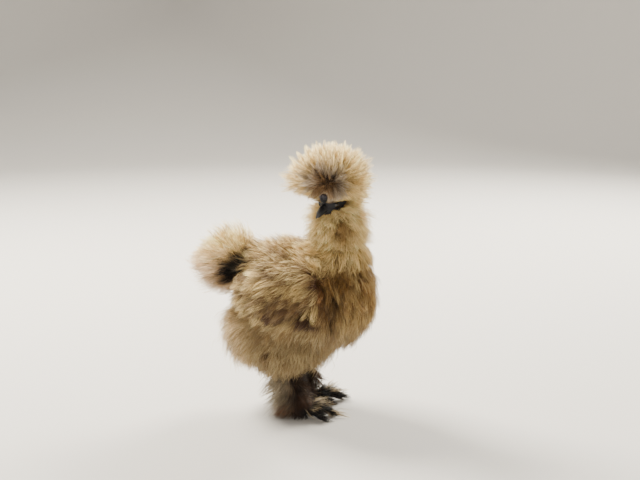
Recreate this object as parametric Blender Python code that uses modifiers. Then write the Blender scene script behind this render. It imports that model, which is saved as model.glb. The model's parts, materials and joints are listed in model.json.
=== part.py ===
"""A standing silkie chicken, life size: a bantam pullet with a round crest, that looks to its right.

Metres, +Z up. +X is the way the bird's body points, +Y is its left, and the floor is z = 0.
"""

import math

import bmesh
import bpy
import numpy as np
from mathutils import Matrix, Vector
from mathutils.bvhtree import BVHTree

NAME = "silkie_chicken"
GAP = 0.0003
SIDES = {"left": 1.0, "right": -1.0}

# The share of the coat's depth that locks stand out of the core
LOCK_SHARE = 0.55
SEED = 7

# Masses of the body, each a centre, its radii out to the tips of the coat, and the coat's depth
BODY_MASSES = {
    "breast": ((0.018, 0, 0.137), (0.060, 0.058, 0.060), 0.024),
    "middle": ((-0.020, 0, 0.132), (0.060, 0.062, 0.064), 0.022),
    "rump": ((-0.052, 0, 0.152), (0.036, 0.044, 0.040), 0.022),
    "abdomen": ((-0.056, 0, 0.091), (0.054, 0.050, 0.051), 0.030),
    "belly": ((-0.012, 0, 0.085), (0.046, 0.046, 0.034), 0.024),
    "neck_root": ((0.034, 0, 0.182), (0.044, 0.042, 0.036), 0.016),
    "neck": ((0.031, -0.002, 0.214), (0.036, 0.035, 0.036), 0.013),
}
TAIL_MASS = ((-0.099, 0, 0.166), (0.043, 0.041, 0.040), 0.030)
WING_MASS = ((-0.017, 0.048, 0.152), (0.050, 0.018, 0.034), 0.012)
THIGH_MASS = ((-0.026, 0.029, 0.072), (0.036, 0.029, 0.032), 0.022)

WING_PITCH = math.radians(-14)
# Tiers of vanes from the shoulder back: how far apart, and how far apart the vanes of one tier are
WING_TIERS = 6
WING_FIRST_TIER = -0.049
WING_TIER_STEP = 0.0165
WING_ROWS = 3
WING_ROW_STEP = 0.0125
WING_SLOPE = math.radians(32)

# Where the fused body is parted into nodes: a point on each cut and the way its far side faces
NECK_CUT = (Vector((0.030, 0, 0.188)), Vector((0.25, 0, 1)))
NECK_TOP = (Vector((0.030, -0.010, 0.232)), Vector((-0.14, -0.43, 1)))
THIGH_FLOOR = 0.054

# Locks: the share of the full width at each ring from root to tip, and their thickness for their width
LOCK_SHAPE = (0.80, 1.0, 0.68)
VANE_SHAPE = (0.60, 1.0, 0.84)
PUFF_SHAPE = (0.75, 1.0, 0.90)
LOCK_THICKNESS = 0.17
LOCK_CLEARANCE = 0.0004
LOCK_TURN = math.radians(8)
# What a lock that meets another part tries in turn: the share of its length, and of its stand
LOCK_FITS = ((1.0, 1.0), (1.0, 1.3), (1.0, 0.75), (0.8, 1.2), (0.8, 0.8), (0.62, 1.0), (0.5, 1.3))
ROOT_TRIES = 40
ON_SURFACE = 0.0012
# Corners closer together than this are made one after a union or a cut
THINNEST = 0.00001

# What the coat flows from: the axis of the neck, the root of the tail, and the whorl on the crest's front
NECK_AXIS = Vector((0.031, 0, 0))
TAIL_ROOT = Vector((-0.060, 0, 0.160))
WHORL = Vector((0.30, -0.95, 0.0)).normalized()

# The head, in its own frame: +X out along the beak, +Z up through the crown
HEAD_PLACE = Vector((0.028, -0.010, 0.241))
HEAD_YAW = math.radians(-108)
HEAD_PITCH = math.radians(14)
HEAD_MASSES = {
    "cranium": ((0, 0, 0), (0.0160, 0.0135, 0.0145)),
    "face": ((0.0085, 0, -0.0030), (0.0100, 0.0088, 0.0090)),
    "throat": ((0.001, 0, -0.0090), (0.0110, 0.0100, 0.0100)),
}
EYE_PLACE = Vector((0.0078, 0.0092, 0.0010))
EYE_RADIUS = 0.0037
EYE_OUTWARD = Vector((0.25, 1, 0.05))
LID_RADIUS = 0.0009
LID_STANDS_OUT = 0.0016
CREST_MASS = ((0.026, -0.012, 0.266), (0.046, 0.046, 0.040), 0.032)
# The brim of the crest over the face: a point on it and the way down and out of it, in the head's frame
CREST_BRIM = (Vector((0.008, 0, 0.0062)), Vector((0.75, 0, -1)))
# No lock grows this close above the brim in front, and none hangs into the ball kept clear before the face
BRIM_BARE = 0.007
BRIM_FULL = 0.022
FACE_CLEAR = Vector((0.022, 0, -0.008))
FACE_CLEAR_RADIUS = 0.020

# Bill and comb, in the head's frame
BILL_BASE = Vector((0.0150, 0, -0.0020))
BILL_LENGTH = 0.0165
LOWER_BILL_LENGTH = 0.0135
BILL_DROOP = 0.0045
BILL_TAPER = 0.55
BILL_TIP_SHARE = 0.04
BILL_HALF_WIDTH = 0.0052
UPPER_BILL_HEIGHT = 0.0052
LOWER_BILL_HEIGHT = 0.0032
NOSTRIL_PLACE = Vector((0.0198, 0.0036, 0.0010))
NOSTRIL_RADIUS = 0.0008
COMB_PLACE = Vector((0.0135, 0, 0.0078))
# The comb's lobes: how far across and up from its place, and their radius
COMB_LOBES = ((0.0022, 0, 0.0036), (-0.0022, 0, 0.0036), (0, 0.0022, 0.0034))

# Legs and feet
ANKLE = {"left": Vector((-0.012, 0.030, 0.0)), "right": Vector((-0.006, -0.019, 0.0))}
FOOT_TURN = {"left": math.radians(14), "right": math.radians(23)}
SHANK_TOP = {"left": Vector((-0.023, 0.030, 0.0)), "right": Vector((-0.022, -0.024, 0.0))}
SHANK_RADIUS = 0.0046
ANKLE_HEIGHT = 0.013
PAD_RADIUS = 0.0068
TOE_RADIUS = 0.0031
TOE_END_RADIUS = 0.0021
CLAW_LENGTH = 0.0065
CLAW_RADII = (0.0016, 0.0012, 0.0007, 0.0002)
CLAW_DROOP = 0.0010
FOOT_FEATHER_TOP = 0.010
TOE_ARCH = 0.12
TOE_STEPS = 4
# Each toe's bearing from the foot's own forward line, its length, and how high its tip is carried
TOES = {
    "inner": (math.radians(32), 0.024, 0.0028),
    "middle": (math.radians(-2), 0.031, 0.0028),
    "outer": (math.radians(-34), 0.025, 0.0028),
    "hind": (math.radians(168), 0.015, 0.0034),
    "fifth": (math.radians(128), 0.015, 0.0120),
}

COLOURS = {
    "buff": (0.62, 0.47, 0.29),
    "cream": (0.72, 0.60, 0.43),
    "tail": (0.42, 0.31, 0.23),
    "skin": (0.035, 0.036, 0.042),
    "horn": (0.028, 0.030, 0.036),
    "claw": (0.030, 0.026, 0.024),
    "eye": (0.012, 0.008, 0.006),
}
ROUGHNESS = {"buff": 0.9, "cream": 0.9, "tail": 0.9, "skin": 0.6, "horn": 0.4, "claw": 0.4, "eye": 0.1}


def clear_scene():
    for obj in list(bpy.data.objects):
        bpy.data.objects.remove(obj, do_unlink=True)


def new_collection(name):
    collection = bpy.data.collections.new(name)
    bpy.context.scene.collection.children.link(collection)
    return collection


def material(name, colour):
    """One named finish for one node."""
    finish = bpy.data.materials.new(name)
    finish.use_nodes = True
    shader = finish.node_tree.nodes["Principled BSDF"]
    shader.inputs["Base Color"].default_value = (*COLOURS[colour], 1)
    shader.inputs["Roughness"].default_value = ROUGHNESS[colour]
    shader.inputs["Metallic"].default_value = 0
    return finish


def add_object(name, mesh, collection):
    obj = bpy.data.objects.new(name, mesh)
    collection.objects.link(obj)
    return obj


def mesh_from(bm, name):
    """The mesh of a bmesh, with its faces turned outward."""
    bmesh.ops.recalc_face_normals(bm, faces=bm.faces)
    mesh = bpy.data.meshes.new(name)
    bm.to_mesh(mesh)
    bm.free()
    return mesh


def drop(obj):
    bpy.data.objects.remove(obj, do_unlink=True)


def as_cutter(obj):
    obj.hide_render = True
    obj.display_type = "WIRE"
    return obj


def evaluated_mesh(obj):
    """The object's mesh with its modifiers applied."""
    graph = bpy.context.evaluated_depsgraph_get()
    return bpy.data.meshes.new_from_object(obj.evaluated_get(graph))


def apply_modifiers(obj):
    mesh = evaluated_mesh(obj)
    obj.modifiers.clear()
    obj.data = mesh
    return obj


def core_radii(radii, coat_depth):
    """The radii of a mass without the outer part of its coat, where the locks stand free."""
    return tuple(radius - LOCK_SHARE * coat_depth for radius in radii)


def ellipsoid(bm, centre, radii, pitch=0.0, subdivisions=3):
    """Adds one round mass to a bmesh."""
    place = Matrix.Translation(centre) @ Matrix.Rotation(pitch, 4, "Y") @ Matrix.Diagonal((*radii, 1))
    bmesh.ops.create_icosphere(bm, subdivisions=subdivisions, radius=1, matrix=place)


def fuse(name, bm, collection, voxel, smoothing, triangles):
    """Masses made one smooth closed surface of about so many triangles, and the tree of the fine surface."""
    obj = add_object(name, mesh_from(bm, name), collection)
    remesh = obj.modifiers.new("fuse", "REMESH")
    remesh.mode = "VOXEL"
    remesh.voxel_size = voxel
    smooth = obj.modifiers.new("smooth", "SMOOTH")
    smooth.factor = 0.5
    smooth.iterations = smoothing
    apply_modifiers(obj)
    fine = tree_of(obj)
    decimate = obj.modifiers.new("thin_out", "DECIMATE")
    faces = sum(len(polygon.vertices) - 2 for polygon in obj.data.polygons)
    decimate.ratio = min(1.0, triangles / faces)
    return apply_modifiers(obj), fine


def tree_of(obj):
    """A search tree of the object's faces."""
    points = [vertex.co for vertex in obj.data.vertices]
    return BVHTree.FromPolygons(points, [polygon.vertices[:] for polygon in obj.data.polygons])


def cut_away(obj, point, normal):
    """Takes off what lies past a plane and closes the cut with a flat face."""
    bm = bmesh.new()
    bm.from_mesh(obj.data)
    bmesh.ops.bisect_plane(
        bm,
        geom=[*bm.verts, *bm.edges, *bm.faces],
        dist=1e-7,
        plane_co=point,
        plane_no=normal,
        clear_outer=True,
    )
    rim = [edge for edge in bm.edges if edge.is_boundary]
    bmesh.ops.contextual_create(bm, geom=rim)
    bmesh.ops.triangulate(bm, faces=bm.faces)
    bm.to_mesh(obj.data)
    bm.free()


def part_from(whole, name, cuts, collection):
    """A copy of the whole body that keeps what lies behind each cut."""
    piece = add_object(name, whole.data.copy(), collection)
    for point, normal in cuts:
        unit = Vector(normal).normalized()
        cut_away(piece, Vector(point) - unit * GAP / 2, unit)
    return piece


def opposite(cut):
    point, normal = cut
    return (point, -normal)


def grown(obj, by, cutters):
    """A cutter: the object's shape, larger all round by the gap."""
    cutter = as_cutter(add_object(obj.name + "_grown", obj.data.copy(), cutters))
    bm = bmesh.new()
    bm.from_mesh(cutter.data)
    bm.normal_update()
    steps = [vertex.normal * by for vertex in bm.verts]
    for vertex, step in zip(bm.verts, steps):
        vertex.co += step
    bm.to_mesh(cutter.data)
    bm.free()
    return cutter


def boolean(obj, other, operation):
    """Cuts the object by another, or joins them, and removes the other."""
    modifier = obj.modifiers.new(operation.lower(), "BOOLEAN")
    modifier.operation = operation
    modifier.solver = "EXACT"
    modifier.object = other
    apply_modifiers(obj)
    drop(other)
    keep_largest(obj)


def keep_largest(obj):
    """Keeps the object's largest closed surface."""
    bm = bmesh.new()
    bm.from_mesh(obj.data)
    bmesh.ops.triangulate(bm, faces=bm.faces)
    bmesh.ops.dissolve_degenerate(bm, dist=THINNEST, edges=bm.edges)
    bmesh.ops.triangulate(bm, faces=bm.faces)
    left = set(bm.faces)
    best = []
    best_size = -1.0
    while left:
        found = [left.pop()]
        for face in found:
            for edge in face.edges:
                beside = [other for other in edge.link_faces if other in left]
                if edge.is_manifold and beside:
                    left.remove(beside[0])
                    found.append(beside[0])
        size = sum(face.calc_area() for face in found)
        if size > best_size:
            best_size = size
            best = found
    kept = set(best)
    bmesh.ops.delete(bm, geom=[face for face in bm.faces if face not in kept], context="FACES")
    bmesh.ops.triangulate(bm, faces=bm.faces)
    bm.to_mesh(obj.data)
    bm.free()


def clear_of(obj, neighbour, cutters):
    """Cuts the object so that it meets a neighbour face to face, the gap away."""
    boolean(obj, grown(neighbour, GAP, cutters), "DIFFERENCE")


def tube(name, points, radii, collection, resolution=1):
    """A tapered round tube through a few points, closed at both ends."""
    curve = bpy.data.curves.new(name, "CURVE")
    curve.dimensions = "3D"
    curve.bevel_depth = 1.0
    curve.bevel_resolution = resolution
    curve.use_fill_caps = True
    spline = curve.splines.new("POLY")
    spline.points.add(len(points) - 1)
    for knot, point, radius in zip(spline.points, points, radii):
        knot.co = (*point, 1)
        knot.radius = radius
    guide = add_object(name + "_line", curve, collection)
    mesh = evaluated_mesh(guide)
    obj = add_object(name, mesh, collection)
    obj.matrix_world = guide.matrix_world
    drop(guide)
    bm = bmesh.new()
    bm.from_mesh(mesh)
    bmesh.ops.remove_doubles(bm, verts=bm.verts, dist=1e-6)
    bmesh.ops.triangulate(bm, faces=bm.faces)
    bmesh.ops.recalc_face_normals(bm, faces=bm.faces)
    bm.to_mesh(mesh)
    bm.free()
    return obj


def bent_line(start, heading, length, drop_by):
    """Points along an arched line that leaves a start on a heading and ends lower by some height."""
    points = []
    for step in range(TOE_STEPS + 1):
        share = step / TOE_STEPS
        arch = math.sin(share * math.pi) * TOE_ARCH * length
        points.append(start + heading * length * share + Vector((0, 0, arch - drop_by * share)))
    return points


def head_matrix():
    return (
        Matrix.Translation(HEAD_PLACE)
        @ Matrix.Rotation(HEAD_YAW, 4, "Z")
        @ Matrix.Rotation(HEAD_PITCH, 4, "Y")
    )


class Coat:
    """How the locks of one part grow.

    spacing, length, width: sizes of a lock. stand: its angle to the surface at the root and at the tip.
    lie: gives the way the coat flows at a point. trim: gives the share of the full length, 0 for no lock.
    sink: how deep the root goes into the core. shape: the widths along a lock.
    """

    def __init__(self, spacing, length, width, stand, lie, trim=None, sink=0.003, shape=LOCK_SHAPE):
        self.spacing = spacing
        self.length = length
        self.width = width
        self.stand = [math.radians(angle) for angle in stand]
        self.lie = lie
        self.trim = trim or full_length
        self.sink = sink
        self.shape = shape


def full_length(place, normal):
    return 1.0


def flow_at(coat, place, normal, turn):
    """The way the coat flows at a point, along the surface, turned a little about the normal."""
    flow = Vector(coat.lie(place))
    flow -= normal * flow.dot(normal)
    if flow.length < 1e-6:
        flow = normal.orthogonal()
    flow.normalize()
    return Matrix.Rotation(turn, 3, normal) @ flow


def lock_frames(coat, surface, root, length, stand, turn):
    """Centres of a lock's rings with the way across it and the way up from it, root first and tip last."""
    steps = len(coat.shape)
    normal = surface.find_nearest(root)[1]
    flow = flow_at(coat, root, normal, turn)
    frames = [(root - normal * coat.sink, flow.cross(normal), normal)]
    place = root
    for step in range(steps):
        share = (step + 0.5) / steps
        angle = stand * (coat.stand[0] + (coat.stand[1] - coat.stand[0]) * share)
        way = flow * math.cos(angle) + normal * math.sin(angle)
        place = place + way * (length / steps)
        normal = surface.find_nearest(place)[1]
        flow = flow_at(coat, place, normal, turn)
        across = flow.cross(normal)
        frames.append((place, across, across.cross(way).normalized()))
    return frames


def lock_mesh(frames, width, shape, extra=0.0):
    """Points and faces of one flat, tapered lock with a ridge along its back."""
    points = []
    for (centre, across, up), share in zip(frames, shape):
        half = width * share / 2 + extra
        rise = width * share * LOCK_THICKNESS + extra
        low = centre - up * extra
        points += [low + across * half, centre + up * rise, low - across * half]
    way = (frames[-1][0] - frames[-2][0]).normalized()
    points.append(frames[-1][0] + way * extra)
    faces = [(0, 1, 2)]
    rings = len(shape)
    for ring in range(rings - 1):
        for side in range(3):
            near = ring * 3 + side
            after = ring * 3 + (side + 1) % 3
            faces.append((near, after + 3, after))
            faces.append((near, near + 3, after + 3))
    last = (rings - 1) * 3
    for side in range(3):
        faces.append((last + side, len(points) - 1, last + (side + 1) % 3))
    return points, faces


class Neighbours:
    """The finished shapes that a lock of another part stays clear of."""

    def __init__(self):
        self.trees = {}

    def add(self, obj):
        self.trees[obj.name] = tree_of(obj)

    def touches(self, frames, width, shape, own):
        """Whether a lock, made fatter by its clearance, meets itself or any part other than its own."""
        points, faces = lock_mesh(frames, width, shape, LOCK_CLEARANCE)
        lock = BVHTree.FromPolygons(points, faces)
        if any(not set(faces[one]) & set(faces[two]) for one, two in lock.overlap(lock)):
            return True
        for name, tree in self.trees.items():
            if name != own and lock.overlap(tree):
                return True
        return min(point.z for point in points) < LOCK_CLEARANCE


def spread_roots(obj, fine, coat, rng):
    """Points spread evenly over the outer surface of an object, none closer together than the spacing."""
    mesh = obj.data
    corners = np.array([[mesh.vertices[i].co for i in face.vertices] for face in mesh.polygons])
    sides = np.cross(corners[:, 1] - corners[:, 0], corners[:, 2] - corners[:, 0])
    areas = np.linalg.norm(sides, axis=1) / 2
    tries = int(ROOT_TRIES * areas.sum() / coat.spacing**2)
    chosen = rng.choice(len(areas), size=tries, p=areas / areas.sum())
    roots = []
    for face in chosen:
        first, second = sorted(rng.random(2))
        a, b, c = (Vector(corner) for corner in corners[face])
        place = a * first + b * (second - first) + c * (1 - second)
        _, normal, _, away = fine.find_nearest(place)
        if away > ON_SURFACE or coat.trim(place, normal) == 0:
            continue
        if all((place - other).length > coat.spacing for other in roots):
            roots.append(place)
    return roots


def grow_locks(obj, surface, coat, roots, neighbours, rng, scratch):
    """Grows a lock at each root, bent or shortened to stay clear of other parts, and joins them."""
    grown_locks = []
    for root in roots:
        normal = surface.find_nearest(root)[1]
        trim = coat.trim(root, normal)
        length = coat.length * trim * rng.uniform(0.86, 1.12)
        width = coat.width * (0.6 + 0.4 * trim) * rng.uniform(0.88, 1.1)
        turn = rng.normal(0, LOCK_TURN)
        for shorter, stand in LOCK_FITS:
            frames = lock_frames(coat, surface, root, length * shorter, stand, turn)
            if not neighbours.touches(frames, width, coat.shape, obj.name):
                points, faces = lock_mesh(frames, width, coat.shape)
                mesh = bpy.data.meshes.new("lock")
                mesh.from_pydata(points, [], faces)
                grown_locks.append(add_object("lock", mesh, scratch))
                break
    join_locks(obj, grown_locks, scratch)
    neighbours.add(obj)


def join_locks(obj, locks, scratch):
    """One union of the object with all its locks, which are then removed."""
    modifier = obj.modifiers.new("locks", "BOOLEAN")
    modifier.operation = "UNION"
    modifier.solver = "MANIFOLD"
    modifier.operand_type = "COLLECTION"
    modifier.collection = scratch
    apply_modifiers(obj)
    for lock in locks:
        drop(lock)
    keep_largest(obj)


def ramp(value, low, high):
    """0 below low, 1 above high, and a smooth way between."""
    share = min(max((value - low) / (high - low), 0.0), 1.0)
    return share * share * (3 - 2 * share)


def body_lie(place):
    """Back along the back, down and back over the flanks, and down over breast and belly."""
    back = ramp(place.z, 0.130, 0.190)
    front = ramp(place.x, -0.005, 0.050)
    low = ramp(-place.z, -0.115, -0.070)
    return (-0.85 + 0.45 * front * (1 - back) + 0.45 * low, 0, -1.0 + 0.85 * back)


def neck_lie(place):
    """Down the neck, and out over the shoulders at its foot."""
    outward = ramp(-place.z, -0.205, -0.180)
    return ((place.x - NECK_AXIS.x) * 12 * outward, (place.y - NECK_AXIS.y) * 12 * outward, -1)


def crest_lie(place):
    """Away from the whorl at the front of the crest."""
    return -WHORL


def tail_lie(place):
    """Out from the rump."""
    return place - TAIL_ROOT


def wing_lie(place):
    """Back and down, steeper on the lower rows."""
    steep = ramp(-place.z, -0.185, -0.120)
    return (-1, 0, -0.25 - 0.65 * steep)


def thigh_lie(place):
    """Down, and a little back."""
    return (-0.30, 0, -1)


def shank_lie(place):
    """Down the shank and back from it."""
    return (-0.45, 0, -1)


def crest_trim(place, normal):
    """Short over the face, where the crest ends at its brim, and full length elsewhere."""
    point, down = CREST_BRIM
    height = -(place - head_matrix() @ point).dot((head_matrix().to_3x3() @ down).normalized())
    forward = ramp(normal.dot(WHORL), 0.2, 0.7)
    if forward > 0.5 and height < BRIM_BARE:
        return 0
    return 1 - forward * 0.5 * (1 - ramp(height, BRIM_BARE, BRIM_FULL))


def foot_trim(place, normal):
    """Feathers on the upper side of the foot only."""
    return 1 if normal.z > 0.45 and place.z < FOOT_FEATHER_TOP else 0


def make_body(parts):
    """The fused trunk and neck, before they are parted, and the tree of their fine surface."""
    bm = bmesh.new()
    for centre, radii, coat in BODY_MASSES.values():
        ellipsoid(bm, centre, core_radii(radii, coat))
    return fuse("body", bm, parts, voxel=0.004, smoothing=6, triangles=700)


def make_mass(name, mass, triangles, parts, sign=1.0, pitch=0.0):
    """One round mass as a node of its own, and the tree of its fine surface."""
    centre, radii, coat = mass
    bm = bmesh.new()
    ellipsoid(bm, (centre[0], sign * centre[1], centre[2]), core_radii(radii, coat), pitch)
    return fuse(name, bm, parts, voxel=0.003, smoothing=2, triangles=triangles)


def make_head(neck, parts, cutters):
    """The head with a ring of lid round each eye and a socket for the eye."""
    bm = bmesh.new()
    for centre, radii in HEAD_MASSES.values():
        ellipsoid(bm, centre, radii)
    head, _ = fuse("head", bm, parts, voxel=0.0013, smoothing=3, triangles=360)
    head.data.transform(head_matrix())
    eyes = []
    for side, sign in SIDES.items():
        place = head_matrix() @ Vector((EYE_PLACE.x, sign * EYE_PLACE.y, EYE_PLACE.z))
        outward = head_matrix().to_3x3() @ Vector((EYE_OUTWARD.x, sign * EYE_OUTWARD.y, EYE_OUTWARD.z))
        boolean(head, lid_ring(side, place, outward.normalized(), cutters), "UNION")
        boolean(head, ball("socket_" + side, place, EYE_RADIUS + GAP, cutters), "DIFFERENCE")
        eyes.append(ball("eye_" + side, place, EYE_RADIUS, parts))
    clear_of(head, neck, cutters)
    return head, eyes


def ball(name, place, radius, collection):
    bm = bmesh.new()
    bmesh.ops.create_icosphere(bm, subdivisions=2, radius=radius, matrix=Matrix.Translation(place))
    return add_object(name, mesh_from(bm, name), collection)


def lid_ring(side, place, outward, cutters):
    """A ring of lid that stands round the eye, where the eye leaves the face."""
    bpy.ops.mesh.primitive_torus_add(
        major_radius=EYE_RADIUS,
        minor_radius=LID_RADIUS,
        major_segments=16,
        minor_segments=6,
        location=place + outward * LID_STANDS_OUT,
        rotation=outward.to_track_quat("Z", "Y").to_euler(),
    )
    ring = bpy.context.object
    ring.name = "lid_" + side
    for collection in list(ring.users_collection):
        collection.objects.unlink(ring)
    cutters.objects.link(ring)
    return ring


def bill_half(name, height, length, upper, parts):
    """One half of the bill: round sections that taper and bend down to a point."""
    rings = 5
    spokes = 8
    bm = bmesh.new()
    loops = []
    for ring in range(rings):
        share = ring / (rings - 1)
        size = (1 - share) ** BILL_TAPER * (1 - BILL_TIP_SHARE) + BILL_TIP_SHARE
        centre = BILL_BASE + Vector((length * share, 0, -BILL_DROOP * share**2))
        loop = []
        for spoke in range(spokes):
            turn = math.pi * spoke / (spokes - 1)
            across = BILL_HALF_WIDTH * size * math.cos(turn)
            up = height * size * math.sin(turn) * (1 if upper else -1)
            seam = GAP * (1 if upper else -1)
            loop.append(bm.verts.new(centre + Vector((0, across, up + seam))))
        loops.append(loop)
    for near, far in zip(loops, loops[1:]):
        for spoke in range(spokes):
            after = (spoke + 1) % spokes
            bm.faces.new((near[spoke], near[after], far[after], far[spoke]))
    bm.faces.new(loops[0])
    bm.faces.new(loops[-1])
    bmesh.ops.triangulate(bm, faces=bm.faces)
    obj = add_object(name, mesh_from(bm, name), parts)
    obj.data.transform(head_matrix())
    return obj


def make_bill(head, parts, cutters):
    """The bill's two halves, parted by the line of the mouth, with a nostril each side."""
    upper = bill_half("bill_upper", UPPER_BILL_HEIGHT, BILL_LENGTH, True, parts)
    lower = bill_half("bill_lower", LOWER_BILL_HEIGHT, LOWER_BILL_LENGTH, False, parts)
    for side, sign in SIDES.items():
        place = head_matrix() @ Vector((NOSTRIL_PLACE.x, sign * NOSTRIL_PLACE.y, NOSTRIL_PLACE.z))
        boolean(upper, ball("nostril_" + side, place, NOSTRIL_RADIUS, cutters), "DIFFERENCE")
    for half in (upper, lower):
        clear_of(half, head, cutters)
    return upper


def make_comb(head, upper_bill, parts, cutters):
    """The small round comb at the root of the bill."""
    bm = bmesh.new()
    for across, height, radius in COMB_LOBES:
        ellipsoid(bm, COMB_PLACE + Vector((0, across, height)), (radius,) * 3, subdivisions=2)
    comb, _ = fuse("comb", bm, parts, voxel=0.0008, smoothing=1, triangles=140)
    comb.data.transform(head_matrix())
    for neighbour in (head, upper_bill):
        clear_of(comb, neighbour, cutters)
    return comb


def make_shank(side, parts):
    """The shank, from the flat under the thigh to the flat over the foot."""
    top = Vector((*SHANK_TOP[side][:2], THIGH_FLOOR - GAP))
    base = Vector((*ANKLE[side][:2], ANKLE_HEIGHT + GAP))
    middle = (base + top) / 2 + Vector((-0.002, 0, 0))
    radii = (SHANK_RADIUS, SHANK_RADIUS * 0.92, SHANK_RADIUS * 1.1)
    shank = tube("shank_" + side, (base, middle, top), radii, parts, resolution=2)
    level_ends(shank, base.z, top.z)
    return shank


def level_ends(obj, low, high):
    """Cuts both ends of an upright piece level, so that it meets its neighbours face to face."""
    cut_away(obj, Vector((0, 0, high - GAP)), Vector((0, 0, 1)))
    cut_away(obj, Vector((0, 0, low + GAP)), Vector((0, 0, -1)))


def make_foot(side, parts, cutters):
    """A pad with five toes, flat where it rests on the floor."""
    ankle = ANKLE[side]
    sign = SIDES[side]
    bm = bmesh.new()
    ellipsoid(bm, ankle + Vector((0, 0, 0.006)), (PAD_RADIUS, PAD_RADIUS, 0.0085), subdivisions=2)
    foot = add_object("foot_" + side, mesh_from(bm, "foot_" + side), parts)
    for toe, (bearing, length, tip_height) in TOES.items():
        turn = FOOT_TURN[side] - sign * bearing
        heading = Vector((math.cos(turn), math.sin(turn), 0))
        start = ankle + heading * 0.001 + Vector((0, 0, 0.0048))
        line = bent_line(start, heading, length, start.z - tip_height)
        thinner = (TOE_RADIUS - TOE_END_RADIUS) / TOE_STEPS
        radii = [TOE_RADIUS - thinner * step for step in range(TOE_STEPS + 1)]
        boolean(foot, tube("toe", line, radii, cutters), "UNION")
        make_claw(side, toe, line, parts)
    cut_away(foot, Vector((0, 0, 0)), Vector((0, 0, -1)))
    cut_away(foot, Vector((0, 0, ANKLE_HEIGHT)), Vector((0, 0, 1)))
    keep_largest(foot)
    return foot


def make_claw(side, toe, line, parts):
    """A short curved claw that carries on from the end of its toe."""
    heading = (line[-1] - line[-2]).normalized()
    start = line[-1] + heading * GAP
    points = []
    for step, radius in enumerate(CLAW_RADII):
        share = step / (len(CLAW_RADII) - 1)
        point = start + heading * CLAW_LENGTH * share
        point.z = max(point.z - CLAW_DROOP * share**2, radius + GAP)
        points.append(point)
    tube("claw_" + toe + "_" + side, points, CLAW_RADII, parts)


def centre_on_floor(parts):
    """Moves the whole bird so that the origin lies on the floor under the middle of its box."""
    corners = [vertex.co for obj in parts.objects for vertex in obj.data.vertices]
    middle = [(min(c[axis] for c in corners) + max(c[axis] for c in corners)) / 2 for axis in range(2)]
    for obj in parts.objects:
        obj.data.transform(Matrix.Translation((-middle[0], -middle[1], 0)))


def finish(parts):
    """Gives each node its own material and shading, and names its mesh."""
    colour_of = {
        "crest": "cream", "tail": "tail", "head": "skin", "comb": "horn", "bill": "horn",
        "claw": "claw", "eye": "eye", "shank": "skin", "foot": "skin",
    }
    for obj in parts.objects:
        kind = obj.name.split("_")[0]
        obj.data.materials.clear()
        obj.data.materials.append(material(obj.name, colour_of.get(kind, "buff")))
        obj.data.name = obj.name
        obj.data.shade_smooth()
        obj.data.set_sharp_from_angle(angle=math.radians(40))


def wing_roots(side, wing):
    """Roots in tiers from the shoulder back, set a half step aside from one tier to the next."""
    tree = tree_of(wing)
    sign = SIDES[side]
    centre = WING_MASS[0]
    roots = []
    for tier in range(WING_TIERS):
        along = WING_FIRST_TIER + tier * WING_TIER_STEP
        for row in range(-WING_ROWS, WING_ROWS + 1):
            across = (row + 0.5 * (tier % 2)) * WING_ROW_STEP
            x = centre[0] - along * math.cos(WING_SLOPE) + across * math.sin(WING_SLOPE)
            z = centre[2] - along * math.sin(WING_SLOPE) - across * math.cos(WING_SLOPE)
            start = Vector((x, sign * 0.2, z))
            place, _, _, _ = tree.ray_cast(start, Vector((0, -sign, 0)))
            if place is not None:
                roots.append(place)
    return roots


def foot_coat(side):
    """Feathers that run out along the toes from the ankle."""
    ankle = ANKLE[side]

    def foot_lie(place):
        return Vector((place.x - ankle.x, place.y - ankle.y, 0))

    return Coat(0.0085, 0.017, 0.0070, (38, 6), foot_lie, foot_trim, sink=0.0022)


def grow_coat(nodes, surfaces, rng, scratch):
    """Grows the locks of every part, the parts that lie on top first."""
    neighbours = Neighbours()
    for obj in nodes.values():
        neighbours.add(obj)
    in_front = ball("in_front_of_face", head_matrix() @ FACE_CLEAR, FACE_CLEAR_RADIUS, scratch)
    neighbours.add(in_front)
    drop(in_front)
    wing = Coat(0, 0.038, 0.0145, (20, 5), wing_lie, shape=VANE_SHAPE)
    thigh = Coat(0.0140, 0.025, 0.0185, (30, 8), thigh_lie)
    shank = Coat(0.0100, 0.022, 0.0100, (46, 14), shank_lie, sink=0.0026)
    coats = {
        "crest": Coat(0.0086, 0.0220, 0.0122, (80, 46), crest_lie, crest_trim, shape=PUFF_SHAPE),
        "neck": Coat(0.0120, 0.030, 0.0155, (30, 4), neck_lie),
        "wing_left": wing,
        "wing_right": wing,
        "tail": Coat(0.0104, 0.027, 0.0140, (66, 32), tail_lie, shape=PUFF_SHAPE),
        "torso": Coat(0.0178, 0.037, 0.0228, (30, 6), body_lie),
        "thigh_left": thigh,
        "thigh_right": thigh,
        "shank_left": shank,
        "shank_right": shank,
        "foot_left": foot_coat("left"),
        "foot_right": foot_coat("right"),
    }
    for name, coat in coats.items():
        obj = nodes[name]
        if name.startswith("wing"):
            roots = wing_roots(name.split("_")[1], obj)
        else:
            roots = spread_roots(obj, surfaces[name], coat, rng)
        grow_locks(obj, surfaces[name], coat, roots, neighbours, rng, scratch)


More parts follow.
